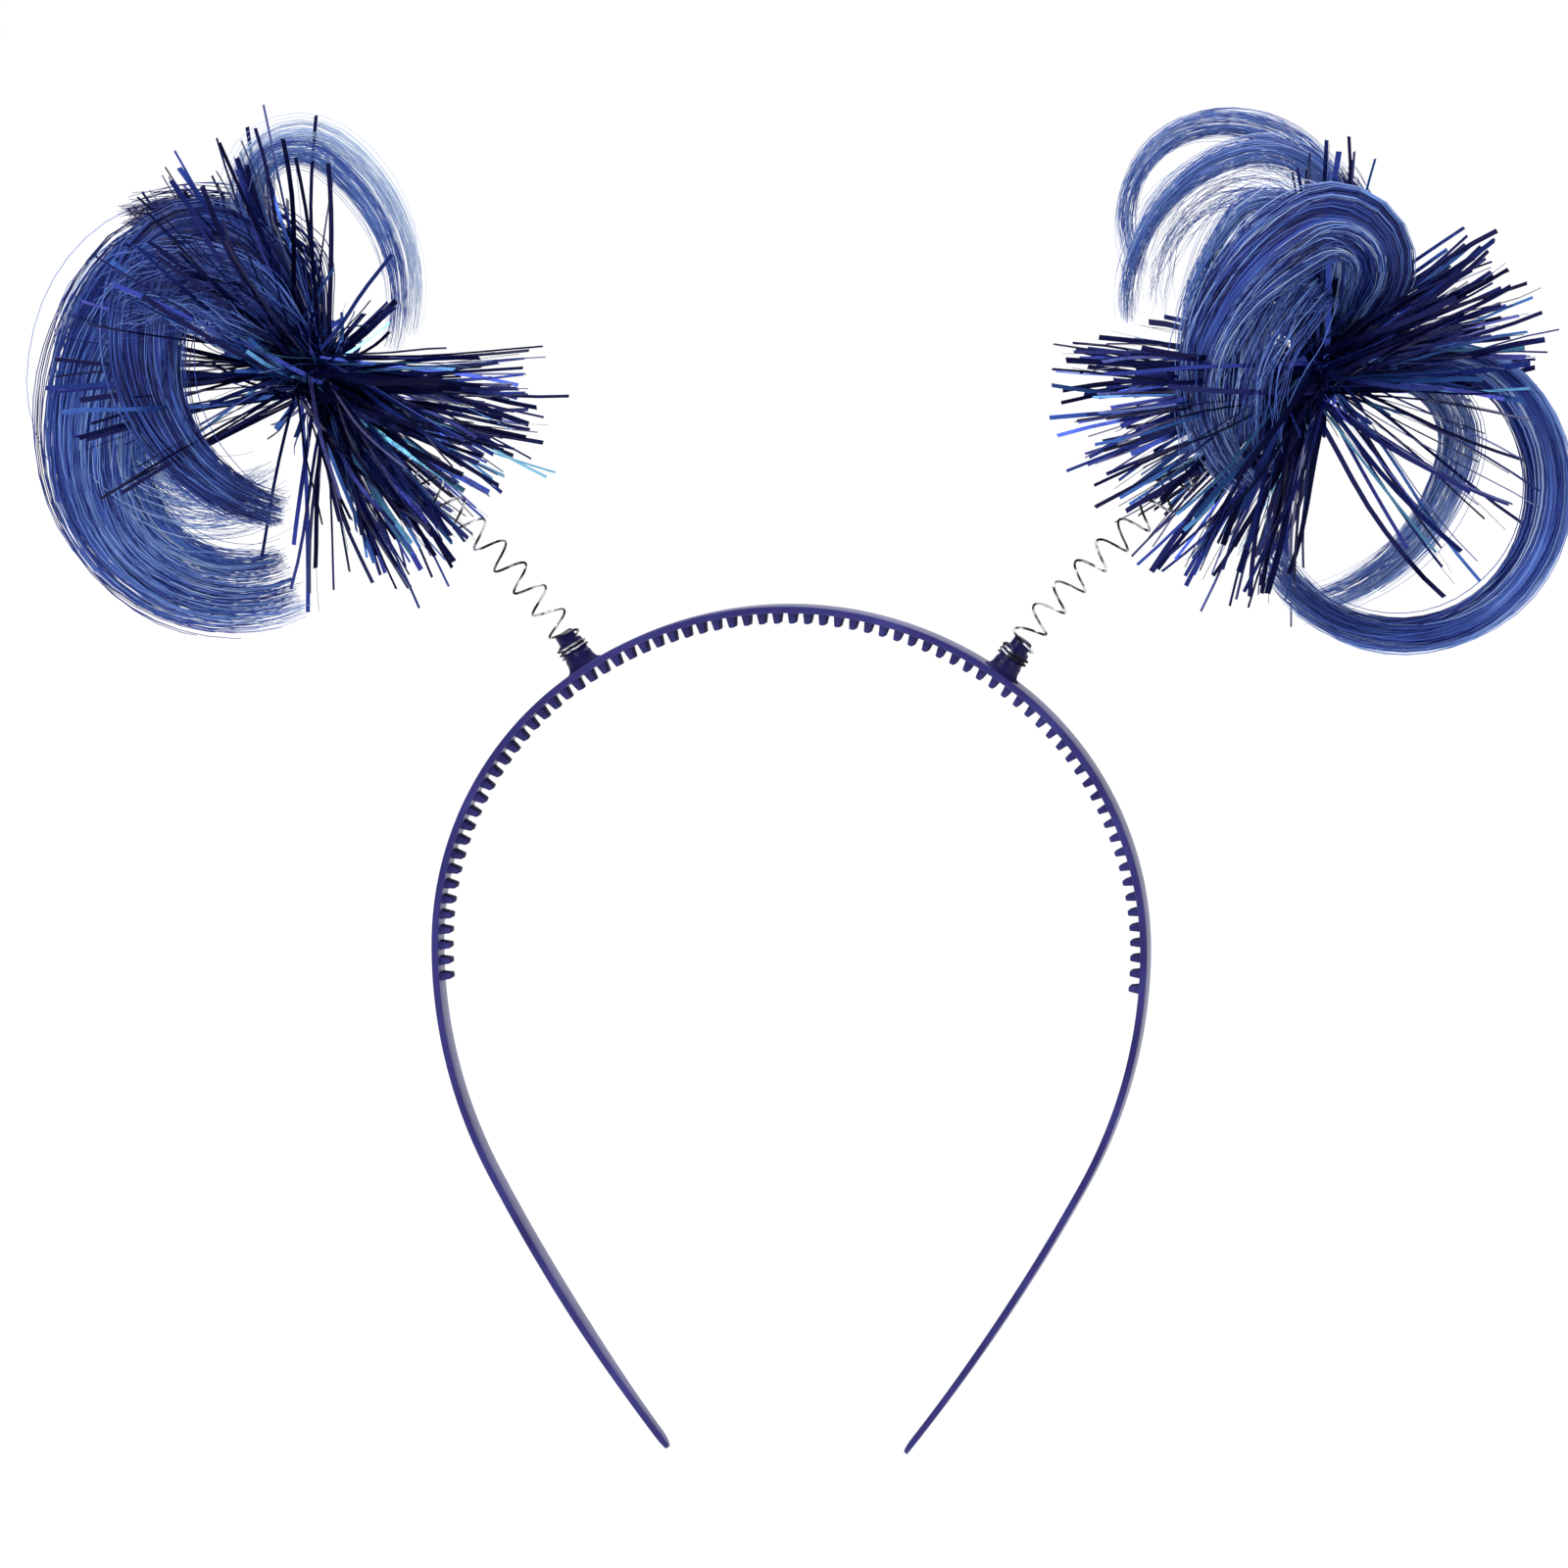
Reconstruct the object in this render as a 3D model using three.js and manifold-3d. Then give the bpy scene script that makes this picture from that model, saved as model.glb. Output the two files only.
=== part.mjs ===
/**
 * Head bopper: a moulded plastic headband with a comb of teeth inside and two studs on top, a wire
 * spring wound on each stud, and at the end of each spring a pompom of foil strips and curled hair.
 *
 * Millimetres. +X runs from one ear to the other, +Y to the back of the head and +Z up. The origin
 * is on the crown of the head, under the tip of the middle tooth.
 */
import * as THREE from 'three';
import { mergeVertices } from 'three/addons/utils/BufferGeometryUtils.js';
import Module from 'manifold-3d';

const wasm = await Module();
wasm.setup();

// Headband: its outer face follows four arcs on each side of the crown
const CROWN_RADIUS = 65.3;
const CROWN_SWEEP = 38.3;
const TEMPLE_RADIUS = 58;
const EAR_RADIUS = 85;
const EAR_SWEEP = 28.4;
const ARM_RADIUS = 340;
const ARM_SWEEP = 9.6;
const BAND_THICKNESS = 1.25;
const ARM_THICKNESS = 1.2;
const BAND_DEPTH = 8;
const BAND_CHAMFER = 0.35;
const TIP_DEPTH = 4.6;
const TIP_THICKNESS = 1.1;
const TIP_TAPER = 34;
const TIP_ROUND = 3;
const BAND_STEP = 6;

// Comb inside the band
const TOOTH_PITCH = 2.76;
const TOOTH_HEIGHT = 1.9;
const TOOTH_ROOT = 1.7;
const TOOTH_TIP = 0.95;
const TOOTH_DEPTH = 4.6;
const COMB_REACH = 102.5;
const TOOTH_SINK = 0.4;

// Studs: a shoulder that flares into the band, a barrel for the wire and a narrower nose
const STUD_PLACE = 38.7;
const STUD_HEIGHT = 6.9;
const STUD_FLARE_RADIUS = 3.2;
const STUD_SHOULDER_RADIUS = 2.5;
const STUD_BARREL_RADIUS = 2.15;
const STUD_NOSE_RADIUS = 1.75;
const STUD_SINK = 0.8;
const STUD_SIDES = 12;
const SHOULDER_HEIGHT = 2.3;
const NOSE_HEIGHT = 5;
const NOSE_CHAMFER = 0.3;

// Springs
const WIRE_DIAMETER = 0.45;
const COIL_RADIUS = 2.45;
const COIL_PITCH = 5.35;
const WIRE_GAP = 0.3;
const WIRE_SIDES = 5;
const STEPS_PER_TURN = 8;
const WOUND_TURNS = 2;
const SPRING_BEND = 14;

// Pompoms
const POMPOM_RADIUS = 42;
const KNOT_RADIUS = 4.2;
const NECK_RADIUS = 1.75;
const NECK_LENGTH = 3;
const BACKING_RADIUS = 3.2;
const SOFT_GAP = 0.4;
const STRIP_WIDTH = 2.6;
const STRIP_THICKNESS = 0.7;
const STRIP_ROOT_SHARE = 0.4;
const STRIP_SWAY = 0.06;
const GOLDEN_SHARE = 0.618034;
const SPRING_CLEAR_ANGLE = 15;
const LOCK_SIDES = 6;
const LOCK_STEPS = 13;

/**
 * Each side's pompom. Its centre is measured from the band's outer face at the crown.
 * Fans: bearing and spread in degrees, counter-clockwise from +X as seen from the front, lean in
 * degrees towards the back, and reach as a share of the pompom's radius.
 * Locks: each leaves the knot on a bearing, runs straight, bends and then curls. Lengths, widths,
 * radii and depths are shares of the pompom's radius, turns are in degrees, and a depth below 0 is
 * in front of the knot. root and tail are the shares of the full width at the two ends.
 */
const SIDES = [
  {
    name: 'left',
    sign: -1,
    centre: { across: 84.5, up: 39 },
    fans: [
      { bearing: -34, spread: 40, leanSpread: 48, count: 24, reach: 0.92 },
      { bearing: 117, spread: 24, leanSpread: 46, count: 12, reach: 0.99 },
      { bearing: 170, spread: 14, leanSpread: 30, count: 5, reach: 1.06 },
      { bearing: 44, spread: 12, leanSpread: 30, count: 3, reach: 0.5 },
      { bearing: -95, spread: 6, leanSpread: 30, count: 3, reach: 0.97 },
    ],
    locks: [
      { bearing: 125, run: 0.57, bend: 92, bendRadius: 0.26, curl: 149, curlRadius: 0.82,
        width: 0.48, thickness: 0.16, middleDepth: 0.16, endDepth: 0.1, root: 0.6, tail: 0.6 },
      { bearing: 120, run: 0.44, bend: 126, bendRadius: 0.235, curl: 92, curlRadius: 0.72,
        width: 0.4, thickness: 0.13, middleDepth: -0.2, endDepth: -0.26, root: 0.5, tail: 0.45 },
      { bearing: 111, run: 0.76, bend: -148, bendRadius: 0.205, curl: -70, curlRadius: 0.76,
        width: 0.15, thickness: 0.1, middleDepth: 0.12, endDepth: 0.2, root: 0.35, tail: 0.5 },
      { bearing: 130, run: 0.5, bend: 40, bendRadius: 0.45, curl: 22, curlRadius: 0.6,
        width: 0.6, thickness: 0.12, middleDepth: 0.3, endDepth: 0.22, root: 0.4, tail: 0.5 },
    ],
  },
  {
    name: 'right',
    sign: 1,
    centre: { across: 89.6, up: 41.4 },
    fans: [
      { bearing: 217, spread: 48, leanSpread: 48, count: 23, reach: 0.97 },
      { bearing: 19, spread: 22, leanSpread: 44, count: 13, reach: 0.92 },
      { bearing: -42, spread: 20, leanSpread: 34, count: 6, reach: 1.04 },
      { bearing: 85, spread: 9, leanSpread: 30, count: 4, reach: 0.93 },
    ],
    locks: [
      { bearing: 8, run: 0.46, bend: -58, bendRadius: 0.42, curl: -193, curlRadius: 0.605,
        width: 0.19, thickness: 0.15, middleDepth: 0.12, endDepth: 0.05, root: 0.35, tail: 0.6 },
      { bearing: -3, run: 0.43, bend: -97, bendRadius: 0.29, curl: -62, curlRadius: 0.695,
        width: 0.13, thickness: 0.1, middleDepth: 0.34, endDepth: 0.3, root: 0.35, tail: 0.5 },
      { bearing: 55, run: 0.3, bend: 150, bendRadius: 0.22, curl: 100, curlRadius: 0.6,
        width: 0.42, thickness: 0.14, middleDepth: -0.24, endDepth: -0.34, root: 0.6, tail: 0.22 },
      { bearing: 78, run: 0.47, bend: 109, bendRadius: 0.5, curl: 118, curlRadius: 0.393,
        width: 0.12, thickness: 0.09, middleDepth: 0.3, endDepth: 0.22, root: 0.35, tail: 0.4 },
      { bearing: 81, run: 0.55, bend: 117, bendRadius: 0.31, curl: 78, curlRadius: 0.65,
        width: 0.11, thickness: 0.08, middleDepth: 0.12, endDepth: 0.02, root: 0.35, tail: 0.4 },
      { bearing: 85, run: 0.5, bend: 146, bendRadius: 0.203, curl: 39, curlRadius: 0.876,
        width: 0.11, thickness: 0.08, middleDepth: -0.05, endDepth: -0.12, root: 0.35, tail: 0.4 },
      { bearing: 74, run: 0.35, bend: 30, bendRadius: 0.5, curl: 20, curlRadius: 0.6,
        width: 0.5, thickness: 0.12, middleDepth: 0.28, endDepth: 0.2, root: 0.4, tail: 0.5 },
    ],
  },
];

const BACK = new THREE.Vector3(0, 1, 0);
const CROWN_HEIGHT = BAND_THICKNESS + TOOTH_HEIGHT;

/** Material with the colour and finish of one piece. */
function finish(colour, roughness, metalness) {
  return new THREE.MeshStandardMaterial({ color: colour, roughness, metalness });
}

const MOULDED_PLASTIC = finish(0x3f4092, 0.35, 0);
const SPRING_STEEL = finish(0xb9bcc4, 0.3, 1);
const BLUE_FOIL = finish(0x16195c, 0.25, 0.8);
const BLUE_HAIR = finish(0x3a56a4, 0.5, 0);

/** Unit direction in the XZ plane at a bearing in degrees, leaning towards the back by lean. */
function direction(bearing, lean = 0) {
  const turn = THREE.MathUtils.degToRad(bearing);
  const rise = THREE.MathUtils.degToRad(lean);
  return new THREE.Vector3(
    Math.cos(turn) * Math.cos(rise),
    Math.sin(rise),
    Math.sin(turn) * Math.cos(rise),
  );
}

/** Solid for cuts and joins from a closed geometry. */
function toSolid(geometry) {
  const bare = geometry.clone();
  bare.deleteAttribute('normal');
  bare.deleteAttribute('uv');
  const merged = mergeVertices(bare, 1e-5);
  return new wasm.Manifold(new wasm.Mesh({
    numProp: 3,
    vertProperties: new Float32Array(merged.attributes.position.array),
    triVerts: new Uint32Array(merged.index.array),
  }));
}

/** Geometry with face normals from a solid. */
function toGeometry(solid) {
  const mesh = solid.getMesh();
  const geometry = new THREE.BufferGeometry();
  geometry.setAttribute('position', new THREE.BufferAttribute(new Float32Array(mesh.vertProperties), 3));
  geometry.setIndex(new THREE.BufferAttribute(new Uint32Array(mesh.triVerts), 1));
  geometry.computeVertexNormals();
  return geometry;
}

/** Joins solids into one. */
function join(solids) {
  return solids.reduce((whole, solid) => whole.add(solid));
}

/** Closed skin over rings of as many points each, with a flat cap on the first and the last. */
function loft(rings) {
  const sides = rings[0].length;
  const triangles = [];
  for (let ring = 0; ring < rings.length - 1; ring += 1) {
    for (let side = 0; side < sides; side += 1) {
      const next = (side + 1) % sides;
      const low = ring * sides;
      const high = low + sides;
      triangles.push(low + side, low + next, high + next);
      triangles.push(low + side, high + next, high + side);
    }
  }
  const last = (rings.length - 1) * sides;
  for (let side = 1; side < sides - 1; side += 1) {
    triangles.push(0, side + 1, side);
    triangles.push(last, last + side, last + side + 1);
  }
  const geometry = new THREE.BufferGeometry().setFromPoints(rings.flat());
  geometry.setIndex(triangles);
  return geometry;
}

/** Ring of points round a centre; across and over are its half sizes along two axes. */
function ellipseRing(centre, across, over, sides) {
  const ring = [];
  for (let side = 0; side < sides; side += 1) {
    const angle = (2 * Math.PI * side) / sides;
    ring.push(centre.clone()
      .addScaledVector(across, Math.cos(angle))
      .addScaledVector(over, Math.sin(angle)));
  }
  return ring;
}

/**
 * Follows straight runs and arcs in the XZ plane from the origin. A leg is { run } or
 * { radius, turn }, with turn in degrees and a left turn positive. place(distance) gives the
 * point and the heading there.
 */
class PlanarPath {
  constructor(heading, legs) {
    this.legs = [];
    this.length = 0;
    let from = new THREE.Vector3();
    let bearing = heading;
    for (const { run, radius, turn } of legs) {
      const length = run ?? radius * Math.abs(THREE.MathUtils.degToRad(turn));
      const leg = { from, bearing, length, radius, turn: turn ?? 0, start: this.length };
      this.legs.push(leg);
      this.length += length;
      from = PlanarPath.along(leg, length);
      bearing += leg.turn;
    }
  }

  static along({ from, bearing, radius, turn }, distance) {
    if (!turn) {
      return from.clone().addScaledVector(direction(bearing), distance);
    }
    const side = Math.sign(turn);
    const swept = bearing + side * THREE.MathUtils.radToDeg(distance / radius);
    return from.clone()
      .addScaledVector(direction(bearing + 90), side * radius)
      .addScaledVector(direction(swept + 90), -side * radius);
  }

  place(distance) {
    const leg = this.legs.findLast((item) => distance >= item.start) ?? this.legs[0];
    const share = leg.length ? (distance - leg.start) / leg.length : 0;
    return {
      point: PlanarPath.along(leg, distance - leg.start),
      heading: leg.bearing + leg.turn * share,
    };
  }
}

const HALF_BAND = new PlanarPath(0, [
  { radius: CROWN_RADIUS, turn: -CROWN_SWEEP },
  { radius: TEMPLE_RADIUS, turn: CROWN_SWEEP - 90 },
  { radius: EAR_RADIUS, turn: -EAR_SWEEP },
  { radius: ARM_RADIUS, turn: -ARM_SWEEP },
]);

/** Point of the band's outer face and its outward normal, at a distance from the crown (+ to +X). */
function bandPlace(distance) {
  const { point, heading } = HALF_BAND.place(Math.abs(distance));
  const normal = direction(heading + 90);
  point.z += CROWN_HEIGHT;
  if (distance < 0) {
    point.x *= -1;
    normal.x *= -1;
  }
  return { point, normal };
}

/** Band's thickness and depth at a distance from the crown. */
function bandSection(distance) {
  const reach = Math.abs(distance);
  const left = HALF_BAND.length - reach;
  const armShare = THREE.MathUtils.smoothstep(reach, 0, COMB_REACH);
  const tipShare = 1 - THREE.MathUtils.smoothstep(left, 0, TIP_TAPER);
  const thickness = THREE.MathUtils.lerp(BAND_THICKNESS, ARM_THICKNESS, armShare);
  const rounding = left < TIP_ROUND ? Math.sqrt(1 - (1 - left / TIP_ROUND) ** 2 * 0.9) : 1;
  return {
    thickness: THREE.MathUtils.lerp(thickness, TIP_THICKNESS, tipShare) * (0.5 + 0.5 * rounding),
    depth: THREE.MathUtils.lerp(BAND_DEPTH, TIP_DEPTH, tipShare) * rounding,
  };
}

/** Chamfered rectangle of the band at a distance from the crown. */
function bandRing(distance) {
  const { point, normal } = bandPlace(distance);
  const { thickness, depth } = bandSection(distance);
  const edge = Math.min(BAND_CHAMFER, thickness / 3, depth / 4);
  const half = depth / 2;
  const corners = [
    [0, half - edge], [0, edge - half], [-edge, -half], [edge - thickness, -half],
    [-thickness, edge - half], [-thickness, half - edge], [edge - thickness, half], [-edge, half],
  ];
  return corners.map(([out, back]) => point.clone()
    .addScaledVector(normal, out)
    .addScaledVector(BACK, back));
}

/** Whole arch of the band, from one rounded tip to the other. */
function arch() {
  const stations = [];
  const plainLength = HALF_BAND.length - TIP_ROUND;
  const steps = Math.ceil(plainLength / BAND_STEP);
  for (let step = -steps; step <= steps; step += 1) {
    stations.push((plainLength * step) / steps);
  }
  for (const share of [0.5, 0.85, 1]) {
    const place = plainLength + TIP_ROUND * share;
    stations.push(place);
    stations.unshift(-place);
  }
  return toSolid(loft(stations.map(bandRing)));
}

/** Turns a geometry's own XY drawing, with y outwards and z to the back, to its place on the band. */
function ontoBand(geometry, distance, out) {
  const { point, normal } = bandPlace(distance);
  const along = new THREE.Vector3().crossVectors(normal, BACK);
  const basis = new THREE.Matrix4().makeBasis(along, normal, BACK);
  basis.setPosition(point.addScaledVector(normal, out));
  return geometry.applyMatrix4(basis);
}

/** One tooth of the comb, standing inwards from the band's inner face. */
function tooth(distance) {
  const wedge = new THREE.Shape([
    new THREE.Vector2(-TOOTH_ROOT / 2, TOOTH_SINK),
    new THREE.Vector2(-TOOTH_TIP / 2, -TOOTH_HEIGHT),
    new THREE.Vector2(TOOTH_TIP / 2, -TOOTH_HEIGHT),
    new THREE.Vector2(TOOTH_ROOT / 2, TOOTH_SINK),
  ]);
  const block = new THREE.ExtrudeGeometry(wedge, { depth: TOOTH_DEPTH, bevelEnabled: false });
  block.translate(0, 0, -TOOTH_DEPTH / 2);
  return toSolid(ontoBand(block, distance, -bandSection(distance).thickness));
}

/** Every tooth of the comb, with the middle one at the crown. */
function comb() {
  const teeth = [];
  const perSide = Math.floor(COMB_REACH / TOOTH_PITCH);
  for (let index = -perSide; index <= perSide; index += 1) {
    teeth.push(tooth(index * TOOTH_PITCH));
  }
  return join(teeth);
}

/** One stud, turned about its axis and stood on the band's outer face. */
function stud(sign) {
  const flare = STUD_FLARE_RADIUS - STUD_SHOULDER_RADIUS;
  const profile = [
    [0, -STUD_SINK],
    [STUD_FLARE_RADIUS, -STUD_SINK],
    [STUD_FLARE_RADIUS, 0],
    [STUD_SHOULDER_RADIUS + flare * 0.3, flare * 0.8],
    [STUD_SHOULDER_RADIUS, flare * 2],
    [STUD_SHOULDER_RADIUS, SHOULDER_HEIGHT - NOSE_CHAMFER],
    [STUD_BARREL_RADIUS, SHOULDER_HEIGHT],
    [STUD_BARREL_RADIUS, NOSE_HEIGHT - NOSE_CHAMFER],
    [STUD_NOSE_RADIUS, NOSE_HEIGHT],
    [STUD_NOSE_RADIUS, STUD_HEIGHT - NOSE_CHAMFER],
    [STUD_NOSE_RADIUS - NOSE_CHAMFER, STUD_HEIGHT],
    [0, STUD_HEIGHT],
  ].map(([radius, height]) => new THREE.Vector2(radius, height));
  return toSolid(ontoBand(new THREE.LatheGeometry(profile, STUD_SIDES), sign * STUD_PLACE, 0));
}

/** The whole moulding: arch, comb and both studs. */
function headband() {
  const solid = join([arch(), comb(), ...SIDES.map(({ sign }) => stud(sign))]);
  const mesh = new THREE.Mesh(toGeometry(solid), MOULDED_PLASTIC);
  mesh.name = 'headband';
  return mesh;
}

/** Middle line of a spring: up its stud, then in one easy bend to the pompom's knot. */
function springLine({ sign, centre }) {
  const { point, normal } = bandPlace(sign * STUD_PLACE);
  const knot = new THREE.Vector3(sign * centre.across, 0, CROWN_HEIGHT + centre.up);
  const seatHeight = SHOULDER_HEIGHT + WIRE_GAP + WIRE_DIAMETER / 2;
  const seat = point.clone().addScaledVector(normal, seatHeight);
  const nose = point.clone().addScaledVector(normal, STUD_HEIGHT);
  const elbow = nose.clone().addScaledVector(normal, SPRING_BEND);
  const arrival = knot.clone().sub(elbow).normalize();
  const end = knot.clone().addScaledVector(arrival, -(KNOT_RADIUS + WIRE_GAP + WIRE_DIAMETER / 2));
  const line = new THREE.CurvePath();
  line.add(new THREE.LineCurve3(seat, nose));
  line.add(new THREE.QuadraticBezierCurve3(nose, elbow, end));
  return { line, knot, arrival };
}

/** Helix round a middle line that lies in the XZ plane, through stretches of { turns, rise, radius }. */
class CoilCurve extends THREE.Curve {
  constructor(line, stretches) {
    super();
    this.line = line;
    this.stretches = stretches;
    this.turns = stretches.reduce((sum, { turns }) => sum + turns, 0);
    this.arcLengthDivisions = Math.ceil(this.turns * STEPS_PER_TURN * 4);
  }

  getPoint(share, target = new THREE.Vector3()) {
    let left = share * this.turns;
    let height = 0;
    let radius = this.stretches[0].radius;
    for (const stretch of this.stretches) {
      const part = THREE.MathUtils.clamp(left / stretch.turns, 0, 1);
      height += stretch.rise * part;
      radius = THREE.MathUtils.lerp(radius, stretch.radius, THREE.MathUtils.smoothstep(part, 0, 0.4));
      left -= stretch.turns;
    }
    const at = THREE.MathUtils.clamp(height / this.line.getLength(), 0, 1);
    const out = new THREE.Vector3().crossVectors(this.line.getTangentAt(at), BACK);
    const angle = share * this.turns * 2 * Math.PI;
    return target.copy(this.line.getPointAt(at))
      .addScaledVector(out, radius * Math.cos(angle))
      .addScaledVector(BACK, radius * Math.sin(angle));
  }
}

/** Spring: turns wound on the barrel, one on the nose, the free coil and one round the neck. */
function spring(side) {
  const { line } = springLine(side);
  const woundRadius = STUD_BARREL_RADIUS + WIRE_GAP + WIRE_DIAMETER;
  const woundPitch = WIRE_DIAMETER + WIRE_GAP;
  const climb = STUD_HEIGHT - SHOULDER_HEIGHT - WOUND_TURNS * woundPitch;
  const free = line.getLength() - WOUND_TURNS * woundPitch - climb - woundPitch;
  const coil = new CoilCurve(line, [
    { turns: WOUND_TURNS, rise: WOUND_TURNS * woundPitch, radius: woundRadius },
    { turns: 1, rise: climb, radius: COIL_RADIUS },
    { turns: Math.round(free / COIL_PITCH), rise: free, radius: COIL_RADIUS },
    { turns: 1, rise: woundPitch, radius: COIL_RADIUS },
  ]);
  const section = new THREE.Shape(
    new THREE.EllipseCurve(0, 0, WIRE_DIAMETER / 2, WIRE_DIAMETER / 2).getPoints(WIRE_SIDES).slice(1),
  );
  const wire = new THREE.ExtrudeGeometry(section, {
    steps: coil.turns * STEPS_PER_TURN,
    bevelEnabled: false,
    extrudePath: coil,
  });
  const mesh = new THREE.Mesh(wire, SPRING_STEEL);
  mesh.name = `spring_${side.name}`;
  return mesh;
}

/** Room that a spring's coil needs, as a plain tube round its middle line up to the knot. */
function springRoom(side) {
  const { line, arrival } = springLine(side);
  const end = line.getPointAt(1);
  const reach = new THREE.CurvePath();
  reach.add(line.curves[1]);
  reach.add(new THREE.LineCurve3(end, end.clone().addScaledVector(arrival, WIRE_GAP + WIRE_DIAMETER / 2)));
  const radius = COIL_RADIUS + WIRE_DIAMETER / 2 + SOFT_GAP;
  const section = new THREE.Shape(new THREE.EllipseCurve(0, 0, radius, radius).getPoints(12).slice(1));
  const tube = new THREE.ExtrudeGeometry(section, {
    steps: 24,
    bevelEnabled: false,
    extrudePath: reach,
  });
  return toSolid(tube);
}

/** One curled lock, made larger all over by extra. Its root lies in the hair's backing. */
function lock(row, backing, extra) {
  const size = (share) => share * POMPOM_RADIUS;
  const path = new PlanarPath(row.bearing, [
    { run: size(row.run) },
    { radius: size(row.bendRadius), turn: row.bend },
    { radius: size(row.curlRadius), turn: row.curl },
  ]);
  const rings = [];
  for (let step = 0; step <= LOCK_STEPS; step += 1) {
    const share = step / LOCK_STEPS;
    const { point, heading } = path.place(share * path.length);
    const rooted = THREE.MathUtils.smoothstep(share, 0, 0.4);
    const ended = THREE.MathUtils.smoothstep(share, 0.4, 1);
    const middle = THREE.MathUtils.lerp(backing.y, size(row.middleDepth), rooted);
    point.y = THREE.MathUtils.lerp(middle, size(row.endDepth), ended);
    const swell = THREE.MathUtils.lerp(row.root, 1, rooted) * THREE.MathUtils.lerp(1, row.tail, ended);
    const across = direction(heading - 90).multiplyScalar((size(row.width) * swell) / 2 + extra);
    const over = BACK.clone().multiplyScalar((size(row.thickness) * swell) / 2 + extra);
    rings.push(ellipseRing(point, across, over, LOCK_SIDES));
  }
  return toSolid(loft(rings));
}

/** A pompom's hair: all its locks, fused to their backing, made larger all over by extra. */
function hairSolid({ locks }, backing, extra) {
  const knot = new THREE.SphereGeometry(BACKING_RADIUS + extra, 10, 6);
  knot.translate(backing.x, backing.y, backing.z);
  return join([toSolid(knot), ...locks.map((row) => lock(row, backing, extra))]);
}

/** One foil strip from inside the knot to its tip, turned about its length by roll. */
function strip(aim, towardsSpring, length, roll) {
  const root = aim.clone()
    .addScaledVector(towardsSpring, -0.7 * aim.dot(towardsSpring))
    .setLength(KNOT_RADIUS * 0.75);
  const tip = aim.clone().multiplyScalar(length);
  const run = tip.clone().sub(root).normalize();
  const across = new THREE.Vector3().crossVectors(run, BACK).normalize().applyAxisAngle(run, roll);
  const over = new THREE.Vector3().crossVectors(run, across);
  const half = STRIP_WIDTH / 2;
  const ring = (centre, share) => [[1, 1], [-1, 1], [-1, -1], [1, -1]].map(([u, v]) => centre.clone()
    .addScaledVector(across, u * half * share)
    .addScaledVector(over, (v * STRIP_THICKNESS) / 2));
  return toSolid(loft([ring(root, STRIP_ROOT_SHARE), ring(tip, 1)]));
}

/** A pompom's foil: strips fused to the tied knot, whose neck sits in the spring's last turn. */
function tinselSolid(side, hair) {
  const { knot, arrival } = springLine(side);
  const towardsSpring = arrival.clone().negate();
  const strips = [];
  for (const { bearing, spread, leanSpread, count, reach } of side.fans) {
    for (let index = 0; index < count; index += 1) {
      const turned = 2 * ((0.5 + index * GOLDEN_SHARE) % 1) - 1;
      const leaned = (2 * (index + 0.5)) / count - 1;
      const aim = direction(bearing + spread * turned, leanSpread * leaned);
      const sway = 1 + STRIP_SWAY * Math.sin(index * index);
      const offSpring = THREE.MathUtils.radToDeg(aim.angleTo(towardsSpring));
      if (offSpring > SPRING_CLEAR_ANGLE) {
        const roll = index * 2 * Math.PI * GOLDEN_SHARE;
        strips.push(strip(aim, towardsSpring, POMPOM_RADIUS * reach * sway, roll));
      }
    }
  }
  const ball = toSolid(new THREE.SphereGeometry(KNOT_RADIUS, 12, 8));
  const room = springRoom(side).translate(knot.clone().negate().toArray());
  const rod = new THREE.CylinderGeometry(NECK_RADIUS, NECK_RADIUS, KNOT_RADIUS + NECK_LENGTH, 10);
  rod.translate(0, (KNOT_RADIUS + NECK_LENGTH) / 2, 0);
  rod.applyQuaternion(new THREE.Quaternion().setFromUnitVectors(new THREE.Vector3(0, 1, 0), towardsSpring));
  const fan = join([ball, ...strips]).subtract(hair).subtract(room);
  const bodies = join([fan, toSolid(rod)]).decompose();
  return bodies.reduce((largest, body) => (body.volume() > largest.volume() ? body : largest));
}

/** One pompom as a group at its knot's centre: foil strips and, tied just behind, the hair. */
function pompom(side) {
  const backing = new THREE.Vector3(0, KNOT_RADIUS + SOFT_GAP + BACKING_RADIUS, 0);
  const hair = new THREE.Mesh(toGeometry(hairSolid(side, backing, 0)), BLUE_HAIR);
  hair.name = `hair_${side.name}`;
  const tinsel = new THREE.Mesh(
    toGeometry(tinselSolid(side, hairSolid(side, backing, SOFT_GAP))),
    BLUE_FOIL,
  );
  tinsel.name = `tinsel_${side.name}`;
  const group = new THREE.Group();
  group.position.copy(springLine(side).knot);
  group.add(hair, tinsel);
  return group;
}

const headBopper = new THREE.Group();
headBopper.add(headband());
for (const side of SIDES) {
  headBopper.add(spring(side), pompom(side));
}

export default headBopper;
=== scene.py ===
"""Head bopper: moulded comb headband, wire springs and pompoms of foil strips and curled hair.

Sizes are written in millimetres and meshes are made in metres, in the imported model's frame:
+X to the right in the front view, +Y to the back of the head, +Z up, with the origin on the
crown of the head under the comb's middle tooth.
"""

import logging
import math
from dataclasses import dataclass, field
from enum import Enum

import bmesh
import bpy
from mathutils import Matrix, Vector

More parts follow.
